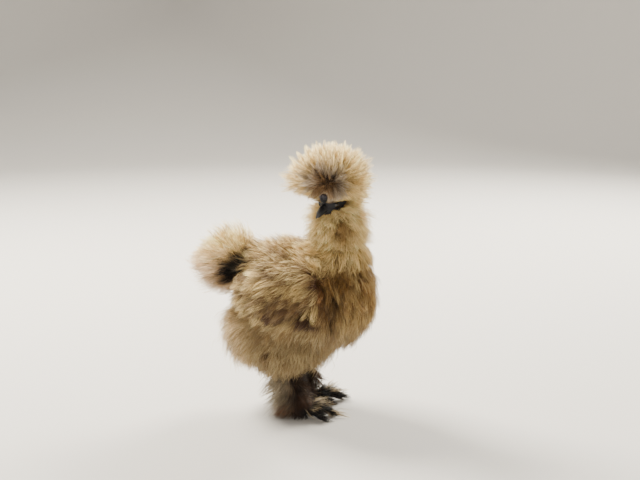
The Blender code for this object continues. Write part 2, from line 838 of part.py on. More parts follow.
def main():
    clear_scene()
    parts = new_collection(NAME)
    cutters = new_collection(NAME + "_cutters")
    scratch = new_collection(NAME + "_locks")
    body, skin = make_body(parts)
    torso = part_from(body, "torso", (NECK_CUT,), parts)
    neck = part_from(body, "neck", (opposite(NECK_CUT), NECK_TOP), parts)
    drop(body)
    surfaces = {"torso": skin, "neck": skin}
    head, eyes = make_head(neck, parts, cutters)
    upper_bill = make_bill(head, parts, cutters)
    comb = make_comb(head, upper_bill, parts, cutters)
    crest, surfaces["crest"] = make_mass("crest", CREST_MASS, 260, parts)
    point, down = CREST_BRIM
    cut_away(crest, head_matrix() @ point, head_matrix().to_3x3() @ down)
    tail, surfaces["tail"] = make_mass("tail", TAIL_MASS, 200, parts)
    meetings = [(crest, (head, neck, upper_bill, comb, *eyes)), (tail, (torso,))]
    for side, sign in SIDES.items():
        wing, surfaces["wing_" + side] = make_mass("wing_" + side, WING_MASS, 180, parts, sign, WING_PITCH)
        thigh, surfaces["thigh_" + side] = make_mass("thigh_" + side, THIGH_MASS, 150, parts, sign)
        cut_away(thigh, Vector((0, 0, THIGH_FLOOR)), Vector((0, 0, -1)))
        surfaces["shank_" + side] = tree_of(make_shank(side, parts))
        surfaces["foot_" + side] = tree_of(make_foot(side, parts, cutters))
        meetings += [(wing, (torso, tail)), (thigh, (torso,))]
    for piece, others in meetings:
        for other in others:
            clear_of(piece, other, cutters)
    nodes = {obj.name: obj for obj in parts.objects}
    grow_coat(nodes, surfaces, np.random.default_rng(SEED), scratch)
    centre_on_floor(parts)
    finish(parts)


main()
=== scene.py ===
"""The looks of a life-size silkie chicken: one skin, its plumage, face, bill, legs and feet, over the solids.

Metres. Places are worked out in the body's frame: +X the way the body points, +Y its left, +Z up, and the
floor at z = 0. SHIFT takes a place from there to the frame of the whole model.
"""

import json
import math

import bmesh
import bpy
import numpy as np
from mathutils import Matrix, Vector, noise

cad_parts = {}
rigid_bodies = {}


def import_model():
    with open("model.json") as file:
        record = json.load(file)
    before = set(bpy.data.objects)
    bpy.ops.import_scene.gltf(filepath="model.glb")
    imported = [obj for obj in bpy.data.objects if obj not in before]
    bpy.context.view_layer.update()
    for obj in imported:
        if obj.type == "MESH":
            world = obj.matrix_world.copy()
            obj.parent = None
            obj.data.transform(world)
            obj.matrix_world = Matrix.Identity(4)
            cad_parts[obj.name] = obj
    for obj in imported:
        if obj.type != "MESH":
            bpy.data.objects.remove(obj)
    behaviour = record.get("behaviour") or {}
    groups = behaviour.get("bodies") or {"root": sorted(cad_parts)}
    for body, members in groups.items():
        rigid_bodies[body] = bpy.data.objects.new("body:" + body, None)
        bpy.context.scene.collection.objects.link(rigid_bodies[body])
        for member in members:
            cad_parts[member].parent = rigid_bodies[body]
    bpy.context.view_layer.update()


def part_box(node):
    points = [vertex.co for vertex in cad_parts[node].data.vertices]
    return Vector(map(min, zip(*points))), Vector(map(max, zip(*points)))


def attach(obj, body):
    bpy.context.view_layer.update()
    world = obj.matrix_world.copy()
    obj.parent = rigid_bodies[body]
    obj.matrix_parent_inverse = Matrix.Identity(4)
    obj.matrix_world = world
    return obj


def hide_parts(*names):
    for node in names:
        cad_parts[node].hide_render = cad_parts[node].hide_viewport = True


SIDES = {"left": 1.0, "right": -1.0}
SEED = 11

# The head's own frame: +X out along the beak, +Z up through the crown
HEAD_PLACE = Vector((0.028, -0.01, 0.241))
HEAD_FRAME = (
    Matrix.Translation(HEAD_PLACE)
    @ Matrix.Rotation(math.radians(-108), 4, "Z")
    @ Matrix.Rotation(math.radians(14), 4, "Y")
)
EYE_PLACE = Vector((0.0078, 0.0092, 0.001))
EYE_RADIUS = 0.0037

TAIL_CENTRE = np.array((-0.099, 0, 0.166))
CREST_CENTRE = np.array((0.026, -0.012, 0.266))
# Masses of the body: the zone of plumage, the centre, the radii out to the tips of the coat, and how deep
# the skin lies. Those of wings and thighs stand on both sides.
MASSES = (
    ("breast", (0.018, 0, 0.137), (0.06, 0.058, 0.06), 0.0145),
    ("back", (-0.02, 0, 0.132), (0.06, 0.062, 0.064), 0.0135),
    ("back", (-0.052, 0, 0.152), (0.036, 0.044, 0.04), 0.0135),
    ("fluff", (-0.056, 0, 0.091), (0.054, 0.05, 0.051), 0.018),
    ("fluff", (-0.012, 0, 0.085), (0.046, 0.046, 0.034), 0.0145),
    ("breast", (0.029, 0, 0.16), (0.048, 0.046, 0.035), 0.0145),
    ("breast", (0.032, 0, 0.182), (0.043, 0.042, 0.036), 0.0145),
    ("neck", (0.031, -0.002, 0.214), (0.036, 0.035, 0.036), 0.0125),
    ("tail", TAIL_CENTRE, (0.043, 0.041, 0.04), 0.0185),
    ("wing", (-0.017, 0.048, 0.152), (0.05, 0.018, 0.034), 0.008),
    ("thigh", (-0.026, 0.029, 0.072), (0.036, 0.029, 0.032), 0.014),
    ("crest", CREST_CENTRE, (0.046, 0.046, 0.04), 0.022),
)
WING_PITCH = math.radians(-14)
BODY_VOXEL = 0.0024
HEAD_VOXEL = 0.0005
COMB_VOXEL = 0.00025
SMOOTH_UNION = 0.008

EYE_OUTWARD = Vector((0.25, 1, 0.05))
# The head's rounded masses, and the lumps of skin on the left side of the face: centres and radii
HEAD_BALLS = (
    ((0, 0, 0), (0.0158, 0.0133, 0.0143)),
    ((0.0085, 0, -0.003), (0.0098, 0.0086, 0.0088)),
    ((0.001, 0, -0.009), (0.0108, 0.0098, 0.0098)),
)
FACE_LUMPS = {
    "lids": (EYE_PLACE + Vector((-0.0002, -0.0012, 0)), (0.0048, 0.003, 0.0047)),
    "brow": (EYE_PLACE + Vector((0.0004, -0.0006, 0.0042)), (0.0052, 0.002, 0.0011)),
    "wattle": (Vector((0.012, 0.0038, -0.0088)), (0.0028, 0.0017, 0.0042)),
    "ear_lobe": (Vector((-0.003, 0.0115, -0.007)), (0.003, 0.0016, 0.004)),
}
LID_RIM = 0.0006
WRINKLE_STEP = 0.0015
WRINKLE_DEPTH = 0.00013
PEBBLE_SIZE = 0.0011
PEBBLE_DEPTH = 0.0001
CREASE_SIZE = 0.0026
CREASE_DEPTH = 0.00022
CREASE_WIDTH = 0.12

BILL_BASE = Vector((0.015, 0, -0.002))
# Name of each half of the bill: its height and length
BILL_HALVES = {"upper": (0.005, 0.0165), "lower": (0.003, 0.0132)}
BILL_DROOP = 0.0045
BILL_HALF_WIDTH = 0.005
# The share of the bill's rings, and the length, that lie in the head
BILL_ROOT_SHARE = 0.16
BILL_ROOT_LENGTH = 0.0035
BILL_KEEL = 0.12
BILL_GAP = 0.00018
NOSTRIL_PLACE = Vector((0.0196, 0.0034, 0.0012))
NOSTRIL_DEPTH = 0.0011
NOSTRIL_SIZE = 0.0009

COMB_PLACE = Vector((0.0135, 0, 0.0078))
# The comb's lobes: where they lie from its middle, and their radius
COMB_LOBES = (
    ((0.0002, 0.0024, 0.003), 0.0031),
    ((0.0002, -0.0024, 0.003), 0.0031),
    ((0.0008, 0, -0.0004), 0.0034),
)
WARTS = 60
WART_RADII = (0.0009, 0.0014)
WART_MIDDLE = (0.0006, 0, 0.0019)
WART_REACH = (0.003, 0.0045, 0.0042)

# The bare band across the face, from the bill past the eyes
BAND_MIDDLE = 0.0003
BAND_HALF = 0.0036
BAND_BACK = -0.007
# The way from the face to where it is seen from, the slope of that way, and where the face ends along it
SIGHT = np.array((0.77, 0.64, 0))
SIGHT_RISE = 0.36
FACE_DEPTH = 0.013
# Lines that feathers keep clear of, and how far: along the bill, and out before the comb
CLEARINGS = (
    ((0.013, 0, -0.0014), (0.031, 0, -0.0052), 0.005),
    ((0.015, 0, 0.0098), (0.04, 0, 0.0135), 0.0045),
    ((0.015, 0, 0.0098), (0.037, 0.018, 0.019), 0.0045),
)

ANKLES = {"left": Vector((-0.012, 0.03, 0.0)), "right": Vector((-0.006, -0.019, 0.0))}
SHANK_TOPS = {"left": Vector((-0.023, 0.03, 0.058)), "right": Vector((-0.022, -0.024, 0.058))}
FOOT_TURNS = {"left": math.radians(14), "right": math.radians(23)}
# The skin of a leg lies below LEG_TOP, within LEG_REACH of its ankle, and that of a foot below FOOT_TOP
LEG_TOP = 0.056
LEG_REACH = 0.045
FOOT_TOP = 0.014
SHANK_RADIUS = 0.0043
TOE_RADIUS = 0.003
TOE_END_RADIUS = 0.002
TOE_ARCH = 0.12
SCUTE = 0.0019
CLAW_LENGTH = 0.0065
CLAW_RADIUS = 0.0016
LEG_VOXEL = 0.00045
# Each toe: its bearing from the foot's heading, its length and how high its end lies
TOES = {
    "inner": (32, 0.024, 0.0028),
    "middle": (-2, 0.031, 0.0028),
    "outer": (-34, 0.025, 0.0028),
    "hind": (168, 0.015, 0.0034),
    "fifth": (128, 0.015, 0.012),
}

NECK_AXIS = np.array((0.031, 0, 0))
TAIL_ROOT = np.array((-0.06, 0, 0.16))
# The way out through the middle of the crest's face, and the way aside to where its pale rim is widest
WHORL = np.array((0.3, -0.95, 0.0)) / math.hypot(0.3, 0.95)
CREST_ASIDE = np.array((0.95, 0.3, 0.0))
# Where the flows of wing, breast and neck part on the left side
PARTING = np.array((0.018, 0.04, 0.164))

# A strand has this many rings of three corners, and a tip
RINGS = 3
RING_WIDTHS = (0.75, 1.0, 0.78)
STRAND_THICKNESS = 0.42
ROOT_SINK = 0.0012
FLOOR_CLEARANCE = 0.0008
# The share of strands that stray from their tuft, and the share that lie short and flat below the others
STRAYS = 0.06
UNDERS = 0.2
UNDER_TRIM = 0.4
# The lengths that a strand over the face is cut down to, until one fits
FACE_TRIMS = (1.0, 0.85, 0.7, 0.55, 0.4, 0.25)
# The size of a tuft's patch on the unwrap
PATCH = 0.003
# The most strands that one piece holds
MOST_STRANDS = 12400


def srgb(red, green, blue):
    """A linear colour from three values of 0 to 255."""
    values = np.array((red, green, blue)) / 255
    return np.where(values <= 0.04045, values / 12.92, ((values + 0.055) / 1.055) ** 2.4)


CREAM = srgb(254, 230, 172)
IVORY = srgb(246, 219, 154)
STRAW = srgb(231, 200, 134)
OAT = srgb(224, 196, 146)
BUFF = srgb(212, 179, 114)
CAMEL = srgb(176, 140, 88)
HONEY = srgb(170, 134, 82)
GOLD = srgb(152, 110, 48)
OCHRE = srgb(146, 108, 52)
TAN = srgb(146, 112, 70)
RUST = srgb(138, 74, 34)
BARK = srgb(84, 64, 46)
UMBER = srgb(78, 46, 18)
BLUSH = srgb(240, 212, 176)
SHELL = srgb(238, 218, 184)
SAND = srgb(220, 198, 160)
LILAC = srgb(196, 178, 154)
ASH = srgb(166, 152, 126)
SOOT = srgb(22, 17, 15)
SLATE = srgb(34, 34, 39)
# The painted highlight on the top of the comb
PAINTED_HIGHLIGHT_SLATE = srgb(92, 89, 96)
HORN = srgb(30, 31, 36)
BILL_TIP = srgb(70, 68, 70)
CLAW_TIP = srgb(98, 90, 84)
PUPIL = srgb(3, 3, 4)
IRIS = srgb(30, 18, 12)
EYE_EDGE = srgb(8, 6, 6)


def ramp(values, low, high):
    """0 below low, 1 above high, and a smooth way between."""
    share = np.clip((values - low) / (high - low), 0, 1)
    return share * share * (3 - 2 * share)


def norms(vectors):
    return np.linalg.norm(vectors, axis=-1)


def unit(vectors):
    return vectors / np.maximum(norms(vectors), 1e-9)[..., None]


def mix(first, second, share):
    share = np.asarray(share)[..., None]
    return first * (1 - share) + second * share


def patches(places, size, shift):
    """Soft patches, from 0 to 1, over the places."""
    move = Vector((shift, 2 * shift, 3 * shift))
    values = np.array([noise.noise(Vector(place) / size + move) for place in places])
    return np.clip(0.5 + 0.9 * values, 0, 1)


def mirrored(place, sign):
    """A place of the left side as it is for a sign of 1, or on the right side for -1."""
    return Vector((place.x, sign * place.y, place.z))


def folded(places):
    """Places of both sides laid on the left side."""
    return places * np.array((1, 0, 1)) + np.abs(places) * np.array((0, 1, 0))


def in_head_frame(places):
    """Places of the body's frame in the head's frame."""
    inverse = np.array(HEAD_FRAME.inverted())
    return places @ inverse[:3, :3].T + inverse[:3, 3]


class Field:
    """How far points lie from each of the round masses, and the way out of the body there."""

    def __init__(self):
        rows = [
            (zone, (centre[0], sign * centre[1], centre[2]), np.array(radii) - depth)
            for zone, centre, radii, depth in MASSES
            for sign in ((1, -1) if zone in ("wing", "thigh") else (1,))
        ]
        self.zones, centres, radii = zip(*rows)
        self.centres = np.array(centres)
        self.radii = np.array(radii)
        pitches = [WING_PITCH if zone == "wing" else 0 for zone in self.zones]
        self.turns = np.array([np.array(Matrix.Rotation(pitch, 3, "Y")) for pitch in pitches])

    def distances(self, places):
        """Distances (points, masses), and each mass's own outward way at each point."""
        local = np.einsum("nmk,mkj->nmj", places[:, None] - self.centres, self.turns)
        near = norms(local / self.radii)
        slope = local / self.radii**2
        steep = norms(slope)
        distances = near * (near - 1) / np.maximum(steep, 1e-9)
        outward = np.einsum("nmj,mkj->nmk", slope / np.maximum(steep, 1e-9)[..., None], self.turns)
        return distances, outward

    def normals(self, places):
        distances, outward = self.distances(places)
        weights = np.exp(-(distances - distances.min(axis=1, keepdims=True)) / SMOOTH_UNION)
        return unit((outward * weights[..., None]).sum(axis=1))


# The way the plumage of each zone flows


def torso_lie(places):
    """Back along the back, down and back over the flanks, and down over breast and belly."""
    x, z = places[:, 0], places[:, 2]
    front = ramp(x, -0.005, 0.05)
    back = ramp(z, 0.13, 0.19) * (1 - ramp(x, 0.006, 0.036))
    low = ramp(-z, -0.115, -0.07)
    along = -0.85 + 0.85 * front * (1 - back) + 0.45 * low * (1 - front)
    return np.stack([along, np.zeros_like(along), -1.0 + 0.85 * back], axis=1)


def neck_lie(places):
    """Down the neck, and out over the shoulders at its foot."""
    outward = ramp(-places[:, 2], -0.205, -0.18)
    aside = (places - NECK_AXIS) * 12 * outward[:, None]
    aside[:, 2] = -1
    return aside


def tail_lie(places):
    return places - TAIL_ROOT


def wing_lie(places):
    """Back and down, steeper on the lower rows."""
    steep = ramp(-places[:, 2], -0.185, -0.12)
    flat = np.zeros_like(steep)
    return np.stack([flat - 1, flat, -0.25 - 0.65 * steep], axis=1)


THIGH_LIE = np.array((-0.3, 0, -1))
# Back from the bill and down over the cheeks
CHEEK_LIE = np.array((0, 0, -1)) - 0.6 * np.array(HEAD_FRAME)[:3, 0]


def brow_lie(places):
    """Up and out from the middle of the head."""
    return places - np.array(HEAD_PLACE) + np.array((0, 0, 0.006))


def shank_lie(places):
    """Down the shank and back from it, further back behind."""
    behind = ramp(-places[:, 0], 0.01, 0.026)
    return np.stack([-0.35 - 0.5 * behind, 0 * behind, 0 * behind - 1], axis=1)


def foot_lie(places):
    """Outwards from the ankle, over the toes."""
    right = np.array(ANKLES["right"])
    left = np.array(ANKLES["left"])
    flow = places - np.where(places[:, 1:2] > 0.005, left, right)
    flow[:, 2] = 0
    return flow


class Zone:
    """How the plumage of one zone grows.

    lie: the way it flows, or a function for it. tufts: on a square metre of skin. length, width: of a strand.
    stand: degrees from the skin at root and tip. spread: how wide a tuft is at its root. clump: how far it
    draws together at the tip. turn: how many degrees tufts turn from the lie. uneven: how far lengths vary.
    strands: in a tuft. frizz: how far they waver. follows: whether they keep their distance to the body, or
    leave the skin straight.
    """

    def __init__(self, lie, tufts, length, width, stand, spread, clump, turn, uneven, strands,
                 frizz=0.0009, follows=True):
        self.lie, self.tufts, self.length, self.width = lie, tufts, length, width
        self.stand, self.spread, self.clump, self.turn = stand, spread, clump, turn
        self.uneven, self.strands, self.frizz, self.follows = uneven, strands, frizz, follows


ZONES = {
    "breast": Zone(torso_lie, 63000, 0.028, 0.0005, (50, 18), 0.0034, 0.7, 13, 0.24, 12),
    "back": Zone(torso_lie, 66000, 0.029, 0.0005, (42, 14), 0.0034, 0.76, 16, 0.26, 12),
    "fluff": Zone(torso_lie, 84000, 0.029, 0.00048, (56, 24), 0.0034, 0.36, 18, 0.25, 9, 0.0014),
    "neck": Zone(neck_lie, 128000, 0.0195, 0.00044, (56, 28), 0.0026, 0.66, 16, 0.3, 9, 0.0011),
    "crest": Zone(-WHORL, 230000, 0.028, 0.00044, (84, 62), 0.0026, 0.9, 12, 0.34, 9, 0.0007),
    "tail": Zone(tail_lie, 118000, 0.028, 0.00045, (70, 42), 0.0028, 0.8, 16, 0.34, 9, 0.001),
    "wing": Zone(wing_lie, 75000, 0.031, 0.00052, (34, 8), 0.0038, 0.82, 12, 0.24, 14),
    "thigh": Zone(THIGH_LIE, 86000, 0.021, 0.0005, (50, 20), 0.003, 0.38, 16, 0.22, 9, 0.0013),
    "cheek": Zone(CHEEK_LIE, 700000, 0.0085, 0.0004, (50, 24), 0.001, 0.2, 12, 0.3, 6, 0.0003, False),
    "brow": Zone(brow_lie, 900000, 0.0095, 0.0004, (74, 60), 0.001, 0.2, 12, 0.3, 6, 0.0003, False),
    "shank": Zone(shank_lie, 170000, 0.0215, 0.0005, (54, 30), 0.0028, 0.55, 18, 0.3, 12, 0.001, False),
    "foot": Zone(foot_lie, 280000, 0.0145, 0.00052, (34, 4), 0.0018, 0.45, 18, 0.3, 10, 0.0005, False),
}
ZONE_NAMES = list(ZONES) + ["bare"]


def band_half(local):
    """Half the height of the bare band, which narrows towards the ear."""
    return BAND_HALF * (0.45 + 0.55 * ramp(local[..., 0], BAND_BACK, 0.004))


def head_zone(places):
    """Which zone each point of the head's skin belongs to: bare round the eyes and the root of the bill."""
    local = in_head_frame(places)
    band = (np.abs(local[:, 2] - BAND_MIDDLE) < band_half(local)) & (local[:, 0] > BAND_BACK)
    bill = (local[:, 0] > 0.0135) & (local[:, 2] < 0.006) & (local[:, 2] > -0.0066)
    above = local[:, 2] > BAND_MIDDLE
    feathered = np.where(above, ZONE_NAMES.index("brow"), ZONE_NAMES.index("cheek"))
    return np.where(band | bill, ZONE_NAMES.index("bare"), feathered)


# Meshes


def add_object(name, mesh):
    obj = bpy.data.objects.new(name, mesh)
    bpy.context.scene.collection.objects.link(obj)
    return obj


def applied(obj):
    """The object with its modifiers applied."""
    graph = bpy.context.evaluated_depsgraph_get()
    mesh = bpy.data.meshes.new_from_object(obj.evaluated_get(graph))
    obj.modifiers.clear()
    obj.data = mesh
    return obj


def mesh_of(name, bm):
    """A mesh of the shapes in a bmesh, which is freed."""
    mesh = bpy.data.meshes.new(name)
    bm.to_mesh(mesh)
    bm.free()
    return mesh


def fused(name, bm, voxel, smoothing):
    """The shapes of a bmesh made one smooth closed surface."""
    obj = add_object(name, mesh_of(name, bm))
    remesh = obj.modifiers.new("fuse", "REMESH")
    remesh.mode = "VOXEL"
    remesh.voxel_size = voxel
    smooth = obj.modifiers.new("smooth", "SMOOTH")
    smooth.factor = 0.5
    smooth.iterations = smoothing
    return applied(obj)


def shape_from(name, bm):
    """A smoothly shaded object of the shapes in a bmesh."""
    bmesh.ops.recalc_face_normals(bm, faces=bm.faces)
    mesh = mesh_of(name, bm)
    mesh.shade_smooth()
    return add_object(name, mesh)


def join(obj, other, operation):
    """A Boolean of the object with another, which is removed."""
    modifier = obj.modifiers.new("join", "BOOLEAN")
    modifier.operation = operation
    modifier.solver = "MANIFOLD"
    modifier.object = other
    applied(obj)
    bpy.data.objects.remove(other, do_unlink=True)


def read(items, attribute="co", width=3, kind=float):
    """An attribute of all items of a mesh, as an array with rows of that width."""
    values = np.zeros(len(items) * width, kind)
    items.foreach_get(attribute, values)
    return values.reshape(-1, width)


def add_ball(bm, centre, radii, matrix=Matrix(), subdivisions=4):
    place = matrix @ (Matrix.Translation(centre) @ Matrix.Diagonal((*radii, 1)))
    bmesh.ops.create_icosphere(bm, subdivisions=subdivisions, radius=1, matrix=place)


def bridge(bm, rings):
    """Faces from each ring of vertices to the next."""
    for near, far in zip(rings, rings[1:]):
        for spoke in range(len(near)):
            after = (spoke + 1) % len(near)
            bm.faces.new((near[spoke], near[after], far[after], far[spoke]))


def make_body_skin(field):
    bm = bmesh.new()
    for centre, radii, turn in zip(field.centres, field.radii, field.turns):
        matrix = Matrix.Translation(centre) @ Matrix(turn).to_4x4()
        add_ball(bm, (0, 0, 0), radii, matrix)
    return fused("skin", bm, BODY_VOXEL, 4)


def make_head_skin():
    """The head's skin with brows, cheeks, lids, ear lobes and the first small wattles."""
    bm = bmesh.new()
    for centre, radii in HEAD_BALLS:
        add_ball(bm, centre, radii, HEAD_FRAME)
    for sign in SIDES.values():
        for centre, radii in FACE_LUMPS.values():
            add_ball(bm, mirrored(centre, sign), radii, HEAD_FRAME)
    head = fused("head_skin", bm, HEAD_VOXEL, 2)
    for sign in SIDES.values():
        place = HEAD_FRAME @ mirrored(EYE_PLACE, sign)
        outward = (HEAD_FRAME.to_3x3() @ mirrored(EYE_OUTWARD, sign)).normalized()
        socket = bmesh.new()
        matrix = Matrix.Translation(place)
        bmesh.ops.create_icosphere(socket, subdivisions=4, radius=EYE_RADIUS * 1.01, matrix=matrix)
        join(head, add_object("socket", mesh_of("socket", socket)), "DIFFERENCE")
        bpy.ops.mesh.primitive_torus_add(
            major_radius=EYE_RADIUS * 0.93,
            minor_radius=LID_RIM,
            major_segments=40,
            minor_segments=10,
            location=place + outward * EYE_RADIUS * 0.4,
            rotation=outward.to_track_quat("Z", "Y").to_euler(),
        )
        rim = bpy.context.object
        rim.data.transform(rim.matrix_world)
        rim.matrix_world = Matrix()
        join(head, rim, "UNION")
    fold_skin(head)
    return head


def fold_skin(head):
    """Fine wrinkles all over, and folds that run round the eyes."""
    local = in_head_frame(read(head.data.vertices))
    moves = np.zeros(len(local))
    for sign in SIDES.values():
        away = norms(local - np.array(mirrored(EYE_PLACE, sign)))
        outside = ramp(away, EYE_RADIUS * 1.25, EYE_RADIUS * 1.5) * (1 - ramp(away, 0.0072, 0.01))
        moves += WRINKLE_DEPTH * np.sin(2 * math.pi * away / WRINKLE_STEP) * outside
    for index, place in enumerate(local):
        pebbles = noise.noise(Vector(place) / PEBBLE_SIZE)
        ridges = abs(noise.noise(Vector((place[0] * 0.5, place[1], place[2] * 1.6)) / CREASE_SIZE))
        creases = max(CREASE_WIDTH - ridges, 0) / CREASE_WIDTH
        moves[index] += PEBBLE_DEPTH * pebbles - CREASE_DEPTH * creases
    places = read(head.data.vertices) + read(head.data.vertices, "normal") * moves[:, None]
    head.data.vertices.foreach_set("co", places.ravel())


def add_tube(bm, path, radii, spokes=14):
    """A closed tube of round sections square to a path."""
    loops = []
    for index, (place, radius) in enumerate(zip(path, radii)):
        before = path[max(index - 1, 0)]
        after = path[min(index + 1, len(path) - 1)]
        turn = (after - before).to_track_quat("Z", "Y").to_matrix()
        loop = []
        for spoke in range(spokes):
            angle = 2 * math.pi * spoke / spokes
            loop.append(bm.verts.new(place + turn @ Vector((math.cos(angle), math.sin(angle), 0)) * radius))
        loops.append(loop)
    bridge(bm, loops)
    bm.faces.new(loops[0][::-1])
    bm.faces.new(loops[-1])


def toe_line(side, toe, steps):
    """The arched middle line of a toe, from the pad to its end."""
    bearing, length, tip_height = TOES[toe]
    turn = FOOT_TURNS[side] - SIDES[side] * math.radians(bearing)
    heading = Vector((math.cos(turn), math.sin(turn), 0))
    start = ANKLES[side] + heading * 0.001 + Vector((0, 0, 0.0048))
    points = []
    for step in range(steps + 1):
        share = step / steps
        lift = math.sin(share * math.pi) * TOE_ARCH * length - (start.z - tip_height) * share
        points.append(start + heading * length * share + Vector((0, 0, lift)))
    return points


def scuted(radius, along, depth=0.06):
    """The radius of a toe or shank, stepped by its scutes."""
    return radius * (1 + depth * abs(math.sin(math.pi * along / SCUTE)))


def make_leg_skin(side):
    """The skin of one shank, its pad and its five toes, ringed with scutes, flat where it stands."""
    bm = bmesh.new()
    base = ANKLES[side] + Vector((0, 0, 0.008))
    top = SHANK_TOPS[side]
    steps = 70
    shank = [base.lerp(top, step / steps) for step in range(steps + 1)]
    length = (top - base).length
    add_tube(bm, shank, [scuted(SHANK_RADIUS, length * step / steps, 0.05) for step in range(steps + 1)], 20)
    add_ball(bm, ANKLES[side] + Vector((0, 0, 0.006)), (0.0064, 0.0064, 0.0076))
    for toe, (_, length, _) in TOES.items():
        line = toe_line(side, toe, steps)
        shares = [step / steps for step in range(steps + 1)]
        taper = TOE_END_RADIUS - TOE_RADIUS
        add_tube(bm, line, [scuted(TOE_RADIUS + taper * share, length * share) for share in shares])
        add_ball(bm, line[-1], (TOE_END_RADIUS,) * 3, subdivisions=2)
    leg = fused("leg_skin_" + side, bm, LEG_VOXEL, 1)
    for vertex in leg.data.vertices:
        vertex.co.z = max(vertex.co.z, 0.0001)
    return leg


def make_claws(side):
    """The five claws of a foot, curved down to a point."""
    bm = bmesh.new()
    steps = 12
    for toe in TOES:
        before, end = toe_line(side, toe, 20)[-2:]
        heading = (end - before).normalized()
        points, radii = [], []
        for step in range(steps + 1):
            share = step / steps
            radius = CLAW_RADIUS * (1 - share**1.6) + 0.0001
            point = end + heading * (CLAW_LENGTH + 0.0012) * share - heading * 0.0008
            point.z = max(point.z - 0.0012 * share**2, radius + 0.0002)
            points.append(point)
            radii.append(radius)
        add_tube(bm, points, radii, 12)
    return shape_from("claws_" + side, bm)


def make_bill_half(name):
    """One half of the bill: keeled sections that taper and bend down to a point, with the nostrils."""
    height, length = BILL_HALVES[name]
    rings, spokes = 34, 28
    side = 1 if name == "upper" else -1
    bm = bmesh.new()
    loops = []
    for ring in range(rings):
        share = ring / (rings - 1)
        reach = max(share - BILL_ROOT_SHARE, 0) / (1 - BILL_ROOT_SHARE)
        size = (1 - reach**1.5) ** 0.62 * 0.97 + 0.03
        hidden = BILL_ROOT_LENGTH * (1 - min(share / BILL_ROOT_SHARE, 1))
        centre = BILL_BASE + Vector((length * reach - hidden, 0, 0))
        centre.z -= BILL_DROOP * reach**2
        loop = []
        for spoke in range(spokes):
            turn = math.pi * spoke / (spokes - 1)
            keel = 1 + BILL_KEEL * max(math.sin(turn), 0) ** 8
            across = BILL_HALF_WIDTH * size * math.cos(turn)
            up = height * size * math.sin(turn) ** 0.85 * keel * side
            place = centre + Vector((0, across, up + BILL_GAP * side))
            if name == "upper":
                for sign in SIDES.values():
                    away = (place - mirrored(NOSTRIL_PLACE, sign)).length
                    place.y -= sign * NOSTRIL_DEPTH * math.exp(-((away / NOSTRIL_SIZE) ** 2))
            loop.append(bm.verts.new(place))
        loops.append(loop)
    bridge(bm, loops)
    bm.faces.new(loops[0])
    bm.faces.new(loops[-1])
    obj = shape_from("bill_half_" + name, bm)
    obj.data.transform(HEAD_FRAME)
    return obj


def make_comb():
    """The small walnut comb: low warty lobes over the root of the bill."""
    rng = np.random.default_rng(SEED)
    bm = bmesh.new()
    for centre, radius in COMB_LOBES:
        add_ball(bm, COMB_PLACE + Vector(centre), (radius,) * 3, HEAD_FRAME, 3)
    for _ in range(WARTS):
        way = Vector(rng.normal(size=3)).normalized()
        if way.x < -0.4:
            continue
        centre = Vector([middle + part * reach for middle, part, reach in zip(WART_MIDDLE, way, WART_REACH)])
        add_ball(bm, COMB_PLACE + centre, (rng.uniform(*WART_RADII),) * 3, HEAD_FRAME, 2)
    comb = fused("walnut_comb", bm, COMB_VOXEL, 1)
    comb.data.shade_smooth()
    return comb


def make_eye(side):
    """An eyeball with a bulging clear front, dark iris and black pupil."""
    outward = mirrored(EYE_OUTWARD, SIDES[side]).normalized()
    centre = mirrored(EYE_PLACE, SIDES[side])
    bm = bmesh.new()
    bmesh.ops.create_icosphere(bm, subdivisions=5, radius=1)
    turns = []
    for vertex in bm.verts:
        turn = math.degrees(vertex.co.angle(outward))
        turns.append(turn)
        bulge = 0.05 * max(1 - (turn / 42) ** 2, 0)
        vertex.co = HEAD_FRAME @ (centre + vertex.co * EYE_RADIUS * (0.97 + bulge))
    eye = shape_from("eyeball_" + side, bm)
    turns = np.array(turns)
    iris = mix(IRIS, EYE_EDGE, ramp(turns, 36, 46))
    paint(eye.data, mix(PUPIL, iris, ramp(turns, 24, 27)))
    return eye


def paint(mesh, colours):
    """Stores a colour for each vertex."""
    opaque = np.ones((len(colours), 4), np.float32)
    opaque[:, :3] = colours
    tint = mesh.color_attributes.new("tint", "FLOAT_COLOR", "POINT")
    tint.data.foreach_set("color", opaque.ravel())


class Skin:
    """The skin's triangles as arrays: corners, areas, normals, zones and places on its unwrap."""

    def __init__(self, obj, field):
        mesh = obj.data
        mesh.calc_loop_triangles()
        self.places = read(mesh.vertices)
        self.corners = self.places[read(mesh.loop_triangles, "vertices", kind=np.int32)]
        unwrap = read(mesh.uv_layers["OFBake"].data, "uv", width=2)
        self.unwrap = unwrap[read(mesh.loop_triangles, "loops", kind=np.int32)]
        across = np.cross(self.corners[:, 1] - self.corners[:, 0], self.corners[:, 2] - self.corners[:, 0])
        self.areas = norms(across) / 2
        self.normals = unit(across)
        self.centres = self.corners.mean(axis=1)
        self.zones = zones_of(self.centres, field)


def zones_of(places, field):
    """The index of each place's zone of plumage: that of the nearest mass, with the head told apart."""
    distances, _ = field.distances(places)
    indices = np.array([ZONE_NAMES.index(zone) for zone in field.zones])
    zones = indices[distances.argmin(axis=1)]
    local = in_head_frame(places)
    balls = [norms((local - np.array(centre)) / np.array(radii)) for centre, radii in HEAD_BALLS]
    on_head = (np.min(balls, axis=0) < 1.15) & (distances.min(axis=1) > -0.0005)
    zones = np.where(on_head, head_zone(places), zones)
    below = (places[:, 2] < LEG_TOP) & (distances.min(axis=1) > 0)
    near = [norms(places[:, :2] - np.array(ankle)[:2]) < LEG_REACH for ankle in ANKLES.values()]
    leg = np.where(places[:, 2] > FOOT_TOP, ZONE_NAMES.index("shank"), ZONE_NAMES.index("foot"))
    return np.where(below & np.any(near, axis=0), leg, zones)


